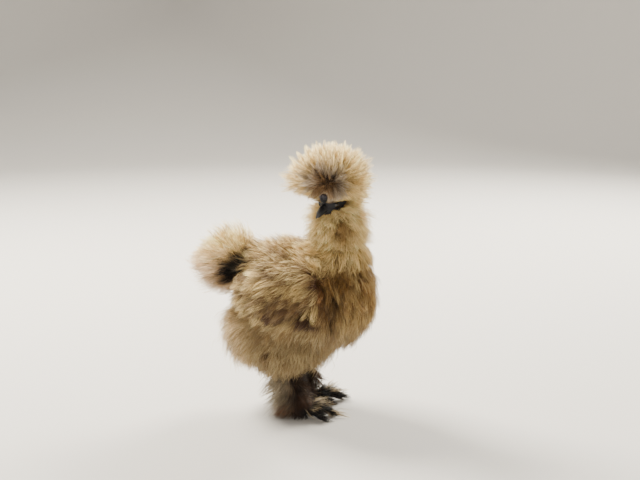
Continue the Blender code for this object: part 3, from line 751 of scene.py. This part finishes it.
def scatter(name, zone, skin, rng):
    """Tufts spread evenly over a zone: their faces of the skin, roots and places on the unwrap."""
    weights = skin.areas * (skin.zones == ZONE_NAMES.index(name))
    if name == "foot":
        weights = weights * ramp(skin.normals[:, 2], 0.1, 0.5) * (skin.centres[:, 2] > 0.003)
    total = weights.sum()
    count = int(total * zone.tufts)
    steps = (np.arange(count) + rng.random(count)) / count * total
    faces = np.minimum(np.searchsorted(np.cumsum(weights), steps), len(weights) - 1)
    cuts = np.sort(rng.random((count, 2)), axis=1)
    shares = np.stack([cuts[:, 0], cuts[:, 1] - cuts[:, 0], 1 - cuts[:, 1]], axis=1)[..., None]
    return faces, (skin.corners[faces] * shares).sum(axis=1), (skin.unwrap[faces] * shares).sum(axis=1)


def shaping(name, roots, normals):
    """How many times longer and steeper the strands at each root are than the rule for their zone."""
    x, z = roots[:, 0], roots[:, 2]
    longer = steeper = np.ones(len(roots))
    if name == "crest":
        longer = crest_trim(roots, normals)
    elif name == "tail":
        longer = tail_trim(roots)
    elif name == "foot":
        outer = ramp(np.abs(roots[:, 1]), 0.04, 0.055)
        longer = 1 + 0.75 * pale_toes(roots) * (1 - outer)
    elif name == "shank":
        behind = ramp(-normals[:, 0], -0.2, 0.6)
        longer, steeper = 1 + 0.75 * behind, 1 + 0.35 * behind
    elif name == "neck":
        collar = ramp(z, 0.218, 0.23)
        longer, steeper = 1 + 0.25 * collar, 1 + 0.35 * collar
    elif name == "wing":
        edge = np.maximum(ramp(x, -0.01, 0.02), ramp(z, 0.158, 0.176))
        longer, steeper = 1 - 0.25 * edge, 1 - 0.35 * edge
    elif name == "back":
        beside = beside_wing(roots)
        longer, steeper = 1 + 0.25 * beside, 1 + 0.9 * np.maximum(ramp(z, 0.165, 0.185), beside)
    elif name == "breast":
        shoulder = ramp(z, 0.16, 0.182) * ramp(x, 0, 0.024)
        saddle = ramp(z, 0.164, 0.176) * (1 - ramp(x, 0.01, 0.03))
        beside = beside_wing(roots) * (1 - ramp(x, 0.01, 0.026))
        longer = (1 - 0.3 * shoulder) * (1 + 0.25 * beside)
        steeper = 1 - 0.4 * shoulder + np.maximum(saddle, beside)
    elif name in ("brow", "cheek"):
        local = in_head_frame(roots)
        nape = ramp(-local[:, 0], -0.001, 0.008)
        muff = ramp(np.abs(local[:, 1]), 0.005, 0.01) * (name == "cheek")
        longer, steeper = 1 + 1.6 * np.maximum(nape, muff), 1 + 0.6 * muff
    return longer[:, None], steeper[:, None]


def strand_paths(zone, starts, normals, lengths, turn, lean, field, rng):
    """The points of each strand from root to tip, and the ways across it and up from it there."""
    shape = (*lengths.shape, RINGS + 1, 3)
    lengths, turn, lean = (values.reshape(-1, 1) for values in (lengths, turn, lean))
    place = starts.reshape(-1, 3)
    normal = field.normals(place) if zone.follows else np.repeat(normals, zone.strands, axis=0)
    place = place - normal * ROOT_SINK
    at_root, at_tip = np.radians(zone.stand)
    points, ways_across, ways_up = [], [], []
    for step in range(RINGS + 1):
        if zone.follows and step:
            normal = field.normals(place)
        flow = zone.lie(place) if callable(zone.lie) else zone.lie
        flow = unit(flow - normal * (flow * normal).sum(axis=1, keepdims=True))
        flow = flow * np.cos(turn) + np.cross(normal, flow) * np.sin(turn)
        angle = lean * (at_root + (at_tip - at_root) * ((step + 0.5) / RINGS))
        way = flow * np.cos(angle) + normal * np.sin(angle)
        across = np.cross(flow, normal)
        points.append(place)
        ways_across.append(across)
        ways_up.append(np.cross(across, way))
        place = place + way * (lengths / RINGS) + rng.normal(0, zone.frizz, place.shape)
    return [np.stack(values, axis=1).reshape(shape) for values in (points, ways_across, ways_up)]


def grow(name, zone, skin, field, rng):
    """Strands of one zone: their roots, points, ways across and up, widths and places on the unwrap."""
    faces, roots, patch = scatter(name, zone, skin, rng)
    normals = field.normals(roots) if zone.follows else skin.normals[faces]
    tufts = (len(roots), 1)
    strands = (len(roots), zone.strands)

    # The strands of a tuft start side by side round its root
    flat = unit(np.cross(normals, rng.normal(size=normals.shape)))
    aside = np.cross(normals, flat)
    turns = rng.uniform(0, 2 * math.pi, (*strands, 1))
    away = zone.spread * np.sqrt(rng.random((*strands, 1)))
    starts = roots[:, None] + away * (flat[:, None] * np.cos(turns) + aside[:, None] * np.sin(turns))

    # They vary from tuft to tuft and from strand to strand
    own = zone.uneven * (1.2 - zone.clump)
    lengths = zone.length * rng.uniform(1 - zone.uneven, 1 + zone.uneven * 0.6, tufts)
    lengths = lengths * rng.uniform(1 - own, 1 + own * 0.6, strands)
    wander = math.radians(zone.turn)
    turn = rng.normal(0, wander, tufts) + rng.normal(0, wander * 0.6, strands)
    lean = rng.normal(1, 0.15, tufts) + rng.normal(0, 0.14, strands)
    stray = (rng.random(strands) < STRAYS) * rng.uniform(0.1, 0.3, strands)
    under = 1 - UNDER_TRIM * (rng.random(strands) < UNDERS)
    longer, steeper = shaping(name, roots, normals)
    lengths = lengths * (1 + stray) * under * longer
    lean = (lean + stray) * under * steeper
    if zone.follows:
        lean = lean * (1 + 0.8 * near_parting(roots))

    points, across, up = strand_paths(zone, starts, normals, lengths, turn, lean, field, rng)
    pull = zone.clump * (np.arange(RINGS + 1) / RINGS) ** 2
    points = points + (points.mean(axis=1, keepdims=True) - points) * pull[:, None]
    points[..., 2] = np.maximum(points[..., 2], FLOOR_CLEARANCE)
    width = zone.width * rng.uniform(0.75, 1.2, strands)
    return {"roots": roots, "points": points, "across": across, "up": up, "width": width, "patches": patch}


def crest_trim(roots, normals):
    """Short over the face, where the crest ends at its brim, a little short at the top, else full."""
    local = in_head_frame(roots)
    forward = ramp(normals @ WHORL, 0.2, 0.7)
    height = local[:, 2] - 0.0062 - 0.75 * (local[:, 0] - 0.008)
    crown = ramp(normals[:, 2], 0.45, 0.95)
    brim = ramp(normals @ np.array((-0.8, -0.28, -0.53)), 0.55, 0.9)
    return (1 - 0.14 * crown + 0.16 * brim) * (1 - forward * 0.45 * (1 - ramp(height, 0.004, 0.022)))


def near_parting(roots):
    """Near the front of each wing, where the flows of wing, breast and neck part."""
    return 1 - ramp(norms(folded(roots) - PARTING), 0.007, 0.018)[:, None]


def beside_wing(roots):
    """Where the body's feathers fill the gap between the top of a wing and the neck."""
    aside = ramp(np.abs(roots[:, 1]), 0.018, 0.03)
    return 0.6 * aside * ramp(roots[:, 2], 0.146, 0.16) * ramp(roots[:, 0], -0.04, -0.02)


def tail_trim(roots):
    """Shorter at the top behind, longer below."""
    out = unit(roots - TAIL_CENTRE)
    high = ramp(out @ np.array((-0.71, 0, 0.71)), 0.55, 0.95)
    low = ramp(out @ np.array((-0.8, 0, -0.6)), 0.6, 0.95)
    front = ramp(out @ np.array((0.6, 0, 0.8)), 0.7, 0.95)
    return 1 - 0.3 * high + 0.12 * low + 0.25 * front


def pale_toes(roots):
    """Which feathers of the feet are the long pale ones."""
    return ramp(patches(roots, 0.003, 8.0), 0.79, 0.87)


def away_from_line(places, start, end):
    """Distances of places from a straight line between two points."""
    along = end - start
    share = np.clip(((places - start) @ along) / (along @ along), 0, 1)
    return norms(places - start - share[..., None] * along)


def over_face(places):
    """Which strands reach over bill, comb, eyes or the bare band between them, seen from before the face."""
    local = folded(in_head_frame(places.reshape(-1, 3))).reshape(places.shape)
    over = np.zeros(local.shape[:-1], bool)
    for start, end, room in CLEARINGS:
        over |= away_from_line(local, np.array(start), np.array(end)) < room
    before = np.maximum(local @ SIGHT - FACE_DEPTH, 0)
    height = np.abs(local[..., 2] - BAND_MIDDLE - SIGHT_RISE * before)
    edge = band_half(local - before[..., None] * SIGHT)
    over |= (height < edge) & (local[..., 0] > 0.27 * local[..., 1] - 0.0097)
    return over.any(axis=-1)


def trim_round_face(name, tufts):
    """Shortens the strands that reach over the face, and tells which can stay."""
    points = tufts["points"]
    if name not in ("crest", "brow", "cheek", "neck"):
        return np.ones(points.shape[:2], bool)
    kept = np.zeros(points.shape[:2], bool)
    whole = points.copy()
    for share in FACE_TRIMS:
        shorter = whole[:, :, :1] + (whole - whole[:, :, :1]) * share
        near, far = shorter[:, :, :-1, None], shorter[:, :, 1:, None]
        between = near + (far - near) * np.array((0.34, 0.67, 1.0))[:, None]
        fits = ~kept & ~over_face(between.reshape(*between.shape[:2], -1, 3))
        points[fits] = shorter[fits]
        kept |= fits
    return kept


def strand_mesh(name, tufts, chosen, colours):
    """One joined mesh of closed, tapered, three-sided strands, with their colours and their unwrap."""
    tuft, strand = np.nonzero(chosen)
    points, across, up, width = (tufts[key][tuft, strand] for key in ("points", "across", "up", "width"))
    count = len(points)
    per_strand = RINGS * 3 + 1
    corners = np.zeros((count, per_strand, 3))
    unwrap = np.zeros((count, per_strand, 2))
    column = (strand + 0.5) / chosen.shape[1] - 0.5
    for ring in range(RINGS):
        half = (width * RING_WIDTHS[ring] / 2)[:, None]
        for side, (sideways, upward) in enumerate(((1, 0), (0, STRAND_THICKNESS * 2), (-1, 0))):
            corner = ring * 3 + side
            corners[:, corner] = points[:, ring] + (across[:, ring] * sideways + up[:, ring] * upward) * half
            unwrap[:, corner, 0] = column + sideways * 0.04
            unwrap[:, corner, 1] = ring / RINGS - 0.5
    corners[:, -1] = points[:, RINGS]
    unwrap[:, -1, 0] = column
    unwrap[:, -1, 1] = 0.5
    unwrap = tufts["patches"][tuft][:, None] + unwrap * PATCH
    tints = np.repeat(colours[tuft, strand], [3] * RINGS + [1], axis=1)

    faces = [(0, 1, 2)]
    for ring in range(RINGS - 1):
        for side in range(3):
            near, after = ring * 3 + side, ring * 3 + (side + 1) % 3
            faces.append((near, near + 3, after + 3, after))
    last = (RINGS - 1) * 3
    faces += [(last + side, per_strand - 1, last + (side + 1) % 3) for side in range(3)]
    pattern = np.array([corner for face in faces for corner in face])
    starts = np.cumsum([0] + [len(face) for face in faces[:-1]])
    order = (np.arange(count)[:, None] * per_strand + pattern).ravel()
    loop_starts = (np.arange(count)[:, None] * len(pattern) + starts).ravel()

    mesh = bpy.data.meshes.new(name)
    mesh.vertices.add(count * per_strand)
    mesh.vertices.foreach_set("co", corners.astype(np.float32).ravel())
    mesh.loops.add(len(order))
    mesh.loops.foreach_set("vertex_index", order.astype(np.int32))
    mesh.polygons.add(len(loop_starts))
    mesh.polygons.foreach_set("loop_start", loop_starts.astype(np.int32))
    mesh.shade_smooth()
    mesh.update(calc_edges=True)
    paint(mesh, tints.reshape(-1, 3))
    layer = mesh.uv_layers.new(name="OFBake")
    layer.data.foreach_set("uv", unwrap.reshape(-1, 2)[order].astype(np.float32).ravel())
    return mesh


# Colours

# Marks on the plumage of both sides, some of them partly painted shade: the zones that carry each, its place
# on the left side, its radii, its colour and its strength
MARKS_AND_PAINTED_SHADE = (
    # Black and dark brown where the tail meets the back: partly dark plumage, partly painted shade in the
    # hollow between them
    ("tail back fluff", (-0.079, 0.02, 0.17), (0.014, 0.02, 0.011), SOOT, 1.0),
    ("tail back fluff", (-0.088, 0.026, 0.157), (0.013, 0.02, 0.014), SOOT, 1.0),
    ("tail back fluff", (-0.08, 0.028, 0.14), (0.009, 0.018, 0.014), UMBER, 0.8),
    ("breast wing", (0.027, 0.041, 0.148), (0.007, 0.015, 0.018), RUST * 0.8, 0.85),
    # Dark bands along and under the lower edge of the wing: painted shade under the wing, partly dark plumage
    ("back fluff wing", (-0.025, 0.046, 0.119), (0.018, 0.02, 0.006), UMBER * 0.7, 1.0),
    ("breast wing back", (0.012, 0.049, 0.118), (0.02, 0.02, 0.007), UMBER * 0.7, 1.0),
    ("back wing", (-0.008, 0.055, 0.129), (0.036, 0.022, 0.013), UMBER * 1.2, 0.8),
    ("fluff", (-0.085, 0.035, 0.076), (0.005, 0.01, 0.004), UMBER, 0.7),
    ("thigh fluff", (-0.034, 0.045, 0.073), (0.005, 0.012, 0.006), UMBER, 0.8),
    ("neck", (0.043, 0.023, 0.213), (0.013, 0.016, 0.019), OCHRE, 0.85),
    # The deep golden middle of the breast: partly its own colour, partly painted shade on its front
    ("breast", (0.04, 0.046, 0.134), (0.013, 0.018, 0.026), GOLD * 0.4, 0.9),
    ("shank foot", (-0.022, 0.02, 0.006), (0.012, 0.014, 0.008), RUST * 0.7, 0.8),
    ("breast", (0.042, 0.032, 0.158), (0.016, 0.02, 0.015), GOLD * 0.8, 0.85),
    ("wing back", (-0.027, 0.064, 0.169), (0.012, 0.014, 0.008), UMBER, 0.7),
)


def crest_colours(places, warm):
    """Dark in the middle of the crest's face, pale at its rim."""
    out = unit(places - CREST_CENTRE)
    angle = np.degrees(np.arccos(np.clip(out @ WHORL, -1, 1)))
    # Paler towards the top and darker underneath: partly painted light on the top and painted shade under the
    # crest
    angle = angle + 16 * (warm - 0.5) + 16 * out[:, 2] + 24 * out @ CREST_ASIDE
    rim = ramp(angle, 30, 56)
    return mix(BARK, HONEY, rim), mix(mix(TAN, LILAC, ramp(angle, 12, 28)), IVORY, rim)


def cheek_colours(places, warm):
    """Pale, and dark just below the bare band."""
    local = in_head_frame(places)
    near = ramp(local[:, 2] + 0.002 * (warm - 0.5), -0.0065, -0.0042) * ramp(local[:, 0], -0.006, 0.002)
    near = near * (1 - ramp(np.abs(local[:, 1]), 0.013, 0.017))
    return mix(BUFF, SOOT, near), mix(CREAM, UMBER * 0.8, near)


def body_colours(places, warm):
    """Golden over the breast, straw with dark roots over the back, greyer below and darkened there by painted
    shade, and pale behind.
    """
    x, z = places[:, 0], places[:, 2]
    low = ramp(-z, -0.125, -0.095)
    front = ramp(x, 0, 0.045)
    high = ramp(z, 0.158, 0.192) * ramp(x, -0.005, 0.02)
    rear = ramp(-x, 0.052, 0.084)
    root = mix(mix(UMBER * 1.2, CAMEL, low), BUFF * 0.8, high)
    tip = mix(mix(STRAW, OAT, low), CREAM, 0.5 * warm * (1 - 0.7 * front))
    tip = mix(tip, GOLD, 0.75 * front * (1 - 0.8 * warm) * (1 - low))
    tip = mix(tip, mix(CREAM, STRAW, warm), high)
    # Painted shade: the lower body is darkened for the shade under it, except at the rear
    shade = 1 - 0.46 * (low * (1 - rear))[:, None]
    return root * shade, mix(tip * shade, SHELL, 0.6 * low * rear)


def plumage_colours(name, places):
    """The colours of a zone's plumage at its roots and at its tips."""
    warm = patches(places, 0.014, 3.0)
    if name in ("crest", "brow"):
        root, tip = crest_colours(places, warm)
    elif name == "cheek":
        root, tip = cheek_colours(places, warm)
    elif name == "neck":
        root, tip = BUFF * 0.9, mix(CREAM, STRAW, 0.3 * warm)
    elif name == "tail":
        # Paler towards the top of the tail: partly the plumage's pink below and cream above, partly painted
        # light on the top
        high = ramp(places[:, 2], 0.16, 0.195)
        root, tip = mix(GOLD * 0.8, BUFF, high), mix(BLUSH, CREAM, high)
    elif name == "wing":
        root, tip = UMBER * 1.1, mix(STRAW, CREAM, 0.6 * warm)
    elif name == "shank":
        behind = ramp(-places[:, 0] + 0.012 * (warm - 0.5), 0.006, 0.034)
        root, tip = mix(SOOT, LILAC * 0.4, behind), mix(mix(SOOT, UMBER, warm), ASH, behind)
    elif name == "foot":
        root, tip = SOOT, mix(SOOT, SAND, pale_toes(places))
    else:
        root, tip = body_colours(places, warm)
    for zones, place, radii, colour, strength in MARKS_AND_PAINTED_SHADE:
        if name in zones.split():
            away = norms((folded(places) - np.array(place)) / np.array(radii))
            share = strength * (1 - ramp(away + 0.5 * (warm - 0.5), 0.6, 1.25))
            root, tip = mix(root, colour * 0.6, share), mix(tip, colour, share)
    return np.broadcast_to(root, places.shape), np.broadcast_to(tip, places.shape)


# The share of a zone's strands that stay dark to the tip
STREAKED = {
    "wing": 0.44, "back": 0.4, "breast": 0.38, "fluff": 0.18, "neck": 0.16, "crest": 0.14, "tail": 0.14
}
STREAKED_ELSEWHERE = 0.08


def strand_colours(name, tufts, rng):
    """Colours of each ring of each strand, varied from tuft to tuft and from strand to strand."""
    count, strands = tufts["width"].shape
    seen = tufts["roots"] if name == "foot" else tufts["points"][:, :, RINGS - 1].mean(axis=1)
    root, tip = plumage_colours(name, seen)
    streaked = rng.random((count, strands, 1, 1)) * 0.35 + rng.random((count, 1, 1, 1)) * 0.65
    streaked = ramp(STREAKED.get(name, STREAKED_ELSEWHERE) - streaked, -0.05, 0.05)
    varied = 0.09 if name in ("fluff", "thigh") else 0.14
    light = rng.normal(1, varied, (count, 1, 1, 1)) * rng.normal(1, 0.1, (count, strands, 1, 1))
    # Strands stay dark some way out from the root: partly the feathers' dark bases, partly painted shade
    # between the tufts
    share = (np.arange(RINGS + 1) / RINGS)[None, None, :, None] ** 0.85
    share = share * (1 - 0.75 * streaked)
    colours = root[:, None, None] * (1 - share) + tip[:, None, None] * share
    return np.clip(colours * light, 0.002, 0.95)


# Materials


def feed(tree, node, inputs):
    """Gives a node's inputs their values, or the outputs of other nodes that drive them."""
    for name, value in inputs.items():
        if isinstance(value, bpy.types.NodeSocket):
            tree.links.new(value, node.inputs[name])
        else:
            node.inputs[name].default_value = value


def add_node(tree, kind, inputs):
    node = tree.nodes.new("ShaderNode" + kind)
    feed(tree, node, inputs)
    return node


def new_material(name):
    """A material, its nodes and its shader."""
    material = bpy.data.materials.new(name)
    material.use_nodes = True
    return material, material.node_tree, material.node_tree.nodes["Principled BSDF"]


def tinted_material(name, roughness, grain_size, grain_depth, sheen=0.0, coat=0.0, bump=0.0):
    """A finish that takes its markings from the mesh's tint and breaks them up with a fine grain."""
    material, tree, shader = new_material(name)
    tint = add_node(tree, "VertexColor", {})
    tint.layer_name = "tint"
    place = add_node(tree, "TexCoord", {}).outputs["Object"]
    inputs = {"Vector": place, "Scale": 1 / grain_size, "Detail": 3}
    grain = add_node(tree, "TexNoise", inputs).outputs["Fac"]
    bounds = {"From Min": 0.3, "From Max": 0.7, "To Min": 1 - grain_depth, "To Max": 1 + grain_depth}
    level = add_node(tree, "MapRange", {"Value": grain, **bounds}).outputs["Result"]
    bounds = {"To Min": roughness - 0.1, "To Max": roughness + 0.1}
    rough = add_node(tree, "MapRange", {"Value": grain, **bounds}).outputs["Result"]
    product = add_node(tree, "VectorMath", {})
    product.operation = "SCALE"
    feed(tree, product, {"Vector": tint.outputs["Color"], "Scale": level})
    feed(tree, shader, {"Base Color": product.outputs["Vector"], "Roughness": rough})
    feed(tree, shader, {"Sheen Weight": sheen, "Coat Weight": coat, "Specular IOR Level": 0.25})
    if bump:
        relief = add_node(tree, "Bump", {"Strength": 0.6, "Distance": bump, "Height": grain})
        feed(tree, shader, {"Normal": relief.outputs["Normal"]})
    return material


# Pieces


def finish_piece(obj, material, replaced=(), colours=None):
    """Finishes a piece, moves it to the model's frame, attaches it to the root body and hides the parts it
    replaces.
    """
    if colours is not None:
        paint(obj.data, colours)
    obj.data.materials.append(material)
    obj.data.transform(Matrix.Translation(SHIFT))
    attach(obj, "root")
    if replaced:
        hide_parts(*replaced)


def make_plumage(skin, field):
    """The strands of all zones, in pieces that lie on one side and have at most MOST_STRANDS."""
    rng = np.random.default_rng(SEED)
    finish = tinted_material("plumage", 0.6, 0.0012, 0.1, sheen=0.05)
    for name, zone in ZONES.items():
        tufts = grow(name, zone, skin, field, rng)
        colours = strand_colours(name, tufts, rng)
        kept = trim_round_face(name, tufts)
        for side, sign in SIDES.items():
            on_side = kept & (tufts["roots"][:, 1] * sign > 0)[:, None]
            parts = int(on_side.sum() / MOST_STRANDS) + 1
            order = np.argsort(np.argsort(tufts["roots"][:, 0] + 1000 * ~on_side.any(axis=1)))
            part_of = order * parts // max(on_side.any(axis=1).sum(), 1)
            for part in range(parts):
                chosen = on_side & (part_of == part)[:, None]
                piece_name = f"plumage_{name}_{side}" + (f"_{part + 1}" if parts > 1 else "")
                mesh = strand_mesh(piece_name, tufts, chosen, colours)
                finish_piece(add_object(piece_name, mesh), finish)


def make_skin(field):
    """The one skin of body, head and legs, with its unwrap."""
    body = make_body_skin(field)
    join(body, make_head_skin(), "UNION")
    for side in SIDES:
        join(body, make_leg_skin(side), "UNION")
    body.data.materials.clear()
    bpy.context.view_layer.objects.active = body
    body.select_set(True)
    bpy.ops.object.mode_set(mode="EDIT")
    bpy.ops.mesh.select_all(action="SELECT")
    bpy.ops.uv.smart_project(angle_limit=math.radians(66), island_margin=0.004)
    bpy.ops.object.mode_set(mode="OBJECT")
    body.data.uv_layers[0].name = "OFBake"
    return body


# Painted shade: the skin is darker than the roots of its plumage, partly its own dark colour, so that gaps
# between tufts read as shadow
SKIN_PAINTED_SHADE = 0.45
COMB_SHADE_CENTRE = (0.014, 0, 0.011)


def tint_skin(obj, skin, field):
    """Paints the skin darker than the roots of the plumage, partly as painted shade in the gaps, with brown
    painted shade round the comb, and bare skin slate.
    """
    zones = zones_of(skin.places, field)
    colours = np.tile(SLATE, (len(skin.places), 1))
    for index, name in enumerate(ZONES):
        on_zone = zones == index
        if name in ("shank", "foot", "brow", "cheek") or not on_zone.any():
            continue
        root, _ = plumage_colours(name, skin.places[on_zone])
        colours[on_zone] = SKIN_PAINTED_SHADE * root
    # Brown painted shade round the comb, where the skin shows between comb and crest
    from_comb = norms(in_head_frame(skin.places) - np.array(COMB_SHADE_CENTRE))
    painted_shade_round_comb = 1 - ramp(from_comb, 0.008, 0.014)
    paint(obj.data, mix(colours, UMBER * 0.6, painted_shade_round_comb * (zones < len(ZONES))))


def make_face():
    """Bill, comb and eyes, each with its own finish."""
    horn = tinted_material("horn", 0.35, 0.0007, 0.25, coat=0.2, bump=0.00008)
    for name in BILL_HALVES:
        half = make_bill_half(name)
        out = in_head_frame(read(half.data.vertices))[:, 0]
        colours = mix(HORN * 0.8, BILL_TIP, ramp(out, 0.024, 0.032))
        finish_piece(half, horn, ["bill_" + name], colours)
    comb = make_comb()
    # The comb lightens towards its top: a painted highlight
    up = in_head_frame(read(comb.data.vertices))[:, 2]
    colours = mix(SLATE * 0.7, PAINTED_HIGHLIGHT_SLATE, ramp(up, 0.008, 0.015))
    wax = tinted_material("comb", 0.5, 0.0006, 0.3, bump=0.0001)
    finish_piece(comb, wax, ["comb"], colours)
    gloss = tinted_material("eye", 0.1, 0.0009, 0.2, coat=1.0)
    for side in SIDES:
        finish_piece(make_eye(side), gloss, ["eye_" + side])


def make_all_claws():
    finish = tinted_material("claw", 0.4, 0.0006, 0.25, coat=0.2)
    for side in SIDES:
        claws = make_claws(side)
        away = norms(read(claws.data.vertices)[:, :2] - np.array(ANKLES[side])[:2])
        colours = mix(HORN, CLAW_TIP, ramp(away, 0.024, 0.038))
        finish_piece(claws, finish, [f"claw_{toe}_{side}" for toe in TOES], colours)


# Stage, light and camera

FLOOR_RADIUS = 2.2
FLOOR_BEND = 0.9
FLOOR_STEPS = 12
FLOOR_SPOKES = 72
WALL_TOP = 3.2
FLOOR_COLOUR = (0.58, 0.56, 0.53, 1)
SKY_COLOUR = (0.86, 0.91, 1.0, 1)
SKY_STRENGTH = 0.4
LIT_PLACE = Vector((0, 0, 0.17))
# The camera looks a little down on the bird, whose body is turned away from it
CAMERA_TURN = math.radians(20)
CAMERA_DOWN = math.atan(193 / 900)
CAMERA_DISTANCE = 0.951564
CAMERA_ASIDE = 0.009016
CAMERA_HEIGHT = 0.4
CAMERA_LENS = 50.625


def make_stage():
    """A round pale floor that sweeps up to a wall on all sides."""
    profile = [(0.0, 0.0), (1.2, 0.0), (FLOOR_RADIUS, 0.0)]
    for step in range(1, FLOOR_STEPS + 1):
        angle = math.pi / 2 * step / FLOOR_STEPS
        profile.append((FLOOR_RADIUS + FLOOR_BEND * math.sin(angle), FLOOR_BEND * (1 - math.cos(angle))))
    profile.append((FLOOR_RADIUS + FLOOR_BEND, WALL_TOP))
    bm = bmesh.new()
    rings = []
    for radius, height in profile:
        angles = (2 * math.pi * spoke / FLOOR_SPOKES for spoke in range(FLOOR_SPOKES))
        rings.append([bm.verts.new((radius * math.cos(at), radius * math.sin(at), height)) for at in angles])
    bridge(bm, rings[::-1])
    bmesh.ops.remove_doubles(bm, verts=bm.verts, dist=0.0001)
    mesh = mesh_of("floor", bm)
    mesh.shade_smooth()
    material, tree, shader = new_material("stage")
    feed(tree, shader, {"Base Color": FLOOR_COLOUR, "Roughness": 0.9})
    mesh.materials.append(material)
    add_object("floor", mesh)


def add_light(name, place, size, power, colour):
    light = bpy.data.lights.new(name, "AREA")
    light.size = size
    light.energy = power
    light.color = colour
    obj = add_object(name, light)
    obj.location = place
    obj.rotation_euler = (LIT_PLACE - Vector(place)).to_track_quat("-Z", "Y").to_euler()


def make_lights():
    world = bpy.data.worlds.new("studio")
    bpy.context.scene.world = world
    world.use_nodes = True
    tree = world.node_tree
    feed(tree, tree.nodes["Background"], {"Color": SKY_COLOUR, "Strength": SKY_STRENGTH})
    add_light("sun_side", (-1.15, 0.35, 1.5), 0.7, 142, (1, 0.94, 0.82))
    add_light("rim", (0.5, 1.5, 1.2), 0.8, 100, (1, 0.95, 0.84))
    add_light("front", (0.2, -1.9, 1.1), 1.4, 7, (1, 0.97, 0.92))


def make_camera():
    data = bpy.data.cameras.new("camera")
    data.lens = CAMERA_LENS
    camera = add_object("camera", data)
    place = Matrix.Rotation(CAMERA_TURN, 3, "Z") @ Vector((CAMERA_ASIDE, -CAMERA_DISTANCE, CAMERA_HEIGHT))
    camera.location = place + SHIFT
    camera.rotation_euler = (math.pi / 2 - CAMERA_DOWN, 0, CAMERA_TURN)
    bpy.context.scene.camera = camera


for obj in list(bpy.data.objects):
    bpy.data.objects.remove(obj, do_unlink=True)
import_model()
low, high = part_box("eye_left")
SHIFT = (low + high) / 2 - HEAD_FRAME @ EYE_PLACE
SHIFT.z = 0

field = Field()
skin_object = make_skin(field)
skin = Skin(skin_object, field)
tint_skin(skin_object, skin, field)
skin_object.data.shade_smooth()
skin_finish = tinted_material("skin", 0.5, 0.0006, 0.25, bump=0.0001)
make_plumage(skin, field)
make_face()
make_all_claws()
paired = [f"{part}_{side}" for part in ("wing", "thigh", "shank", "foot") for side in SIDES]
finish_piece(skin_object, skin_finish, ["torso", "neck", "head", "crest", "tail"] + paired)
make_camera()
make_lights()
make_stage()
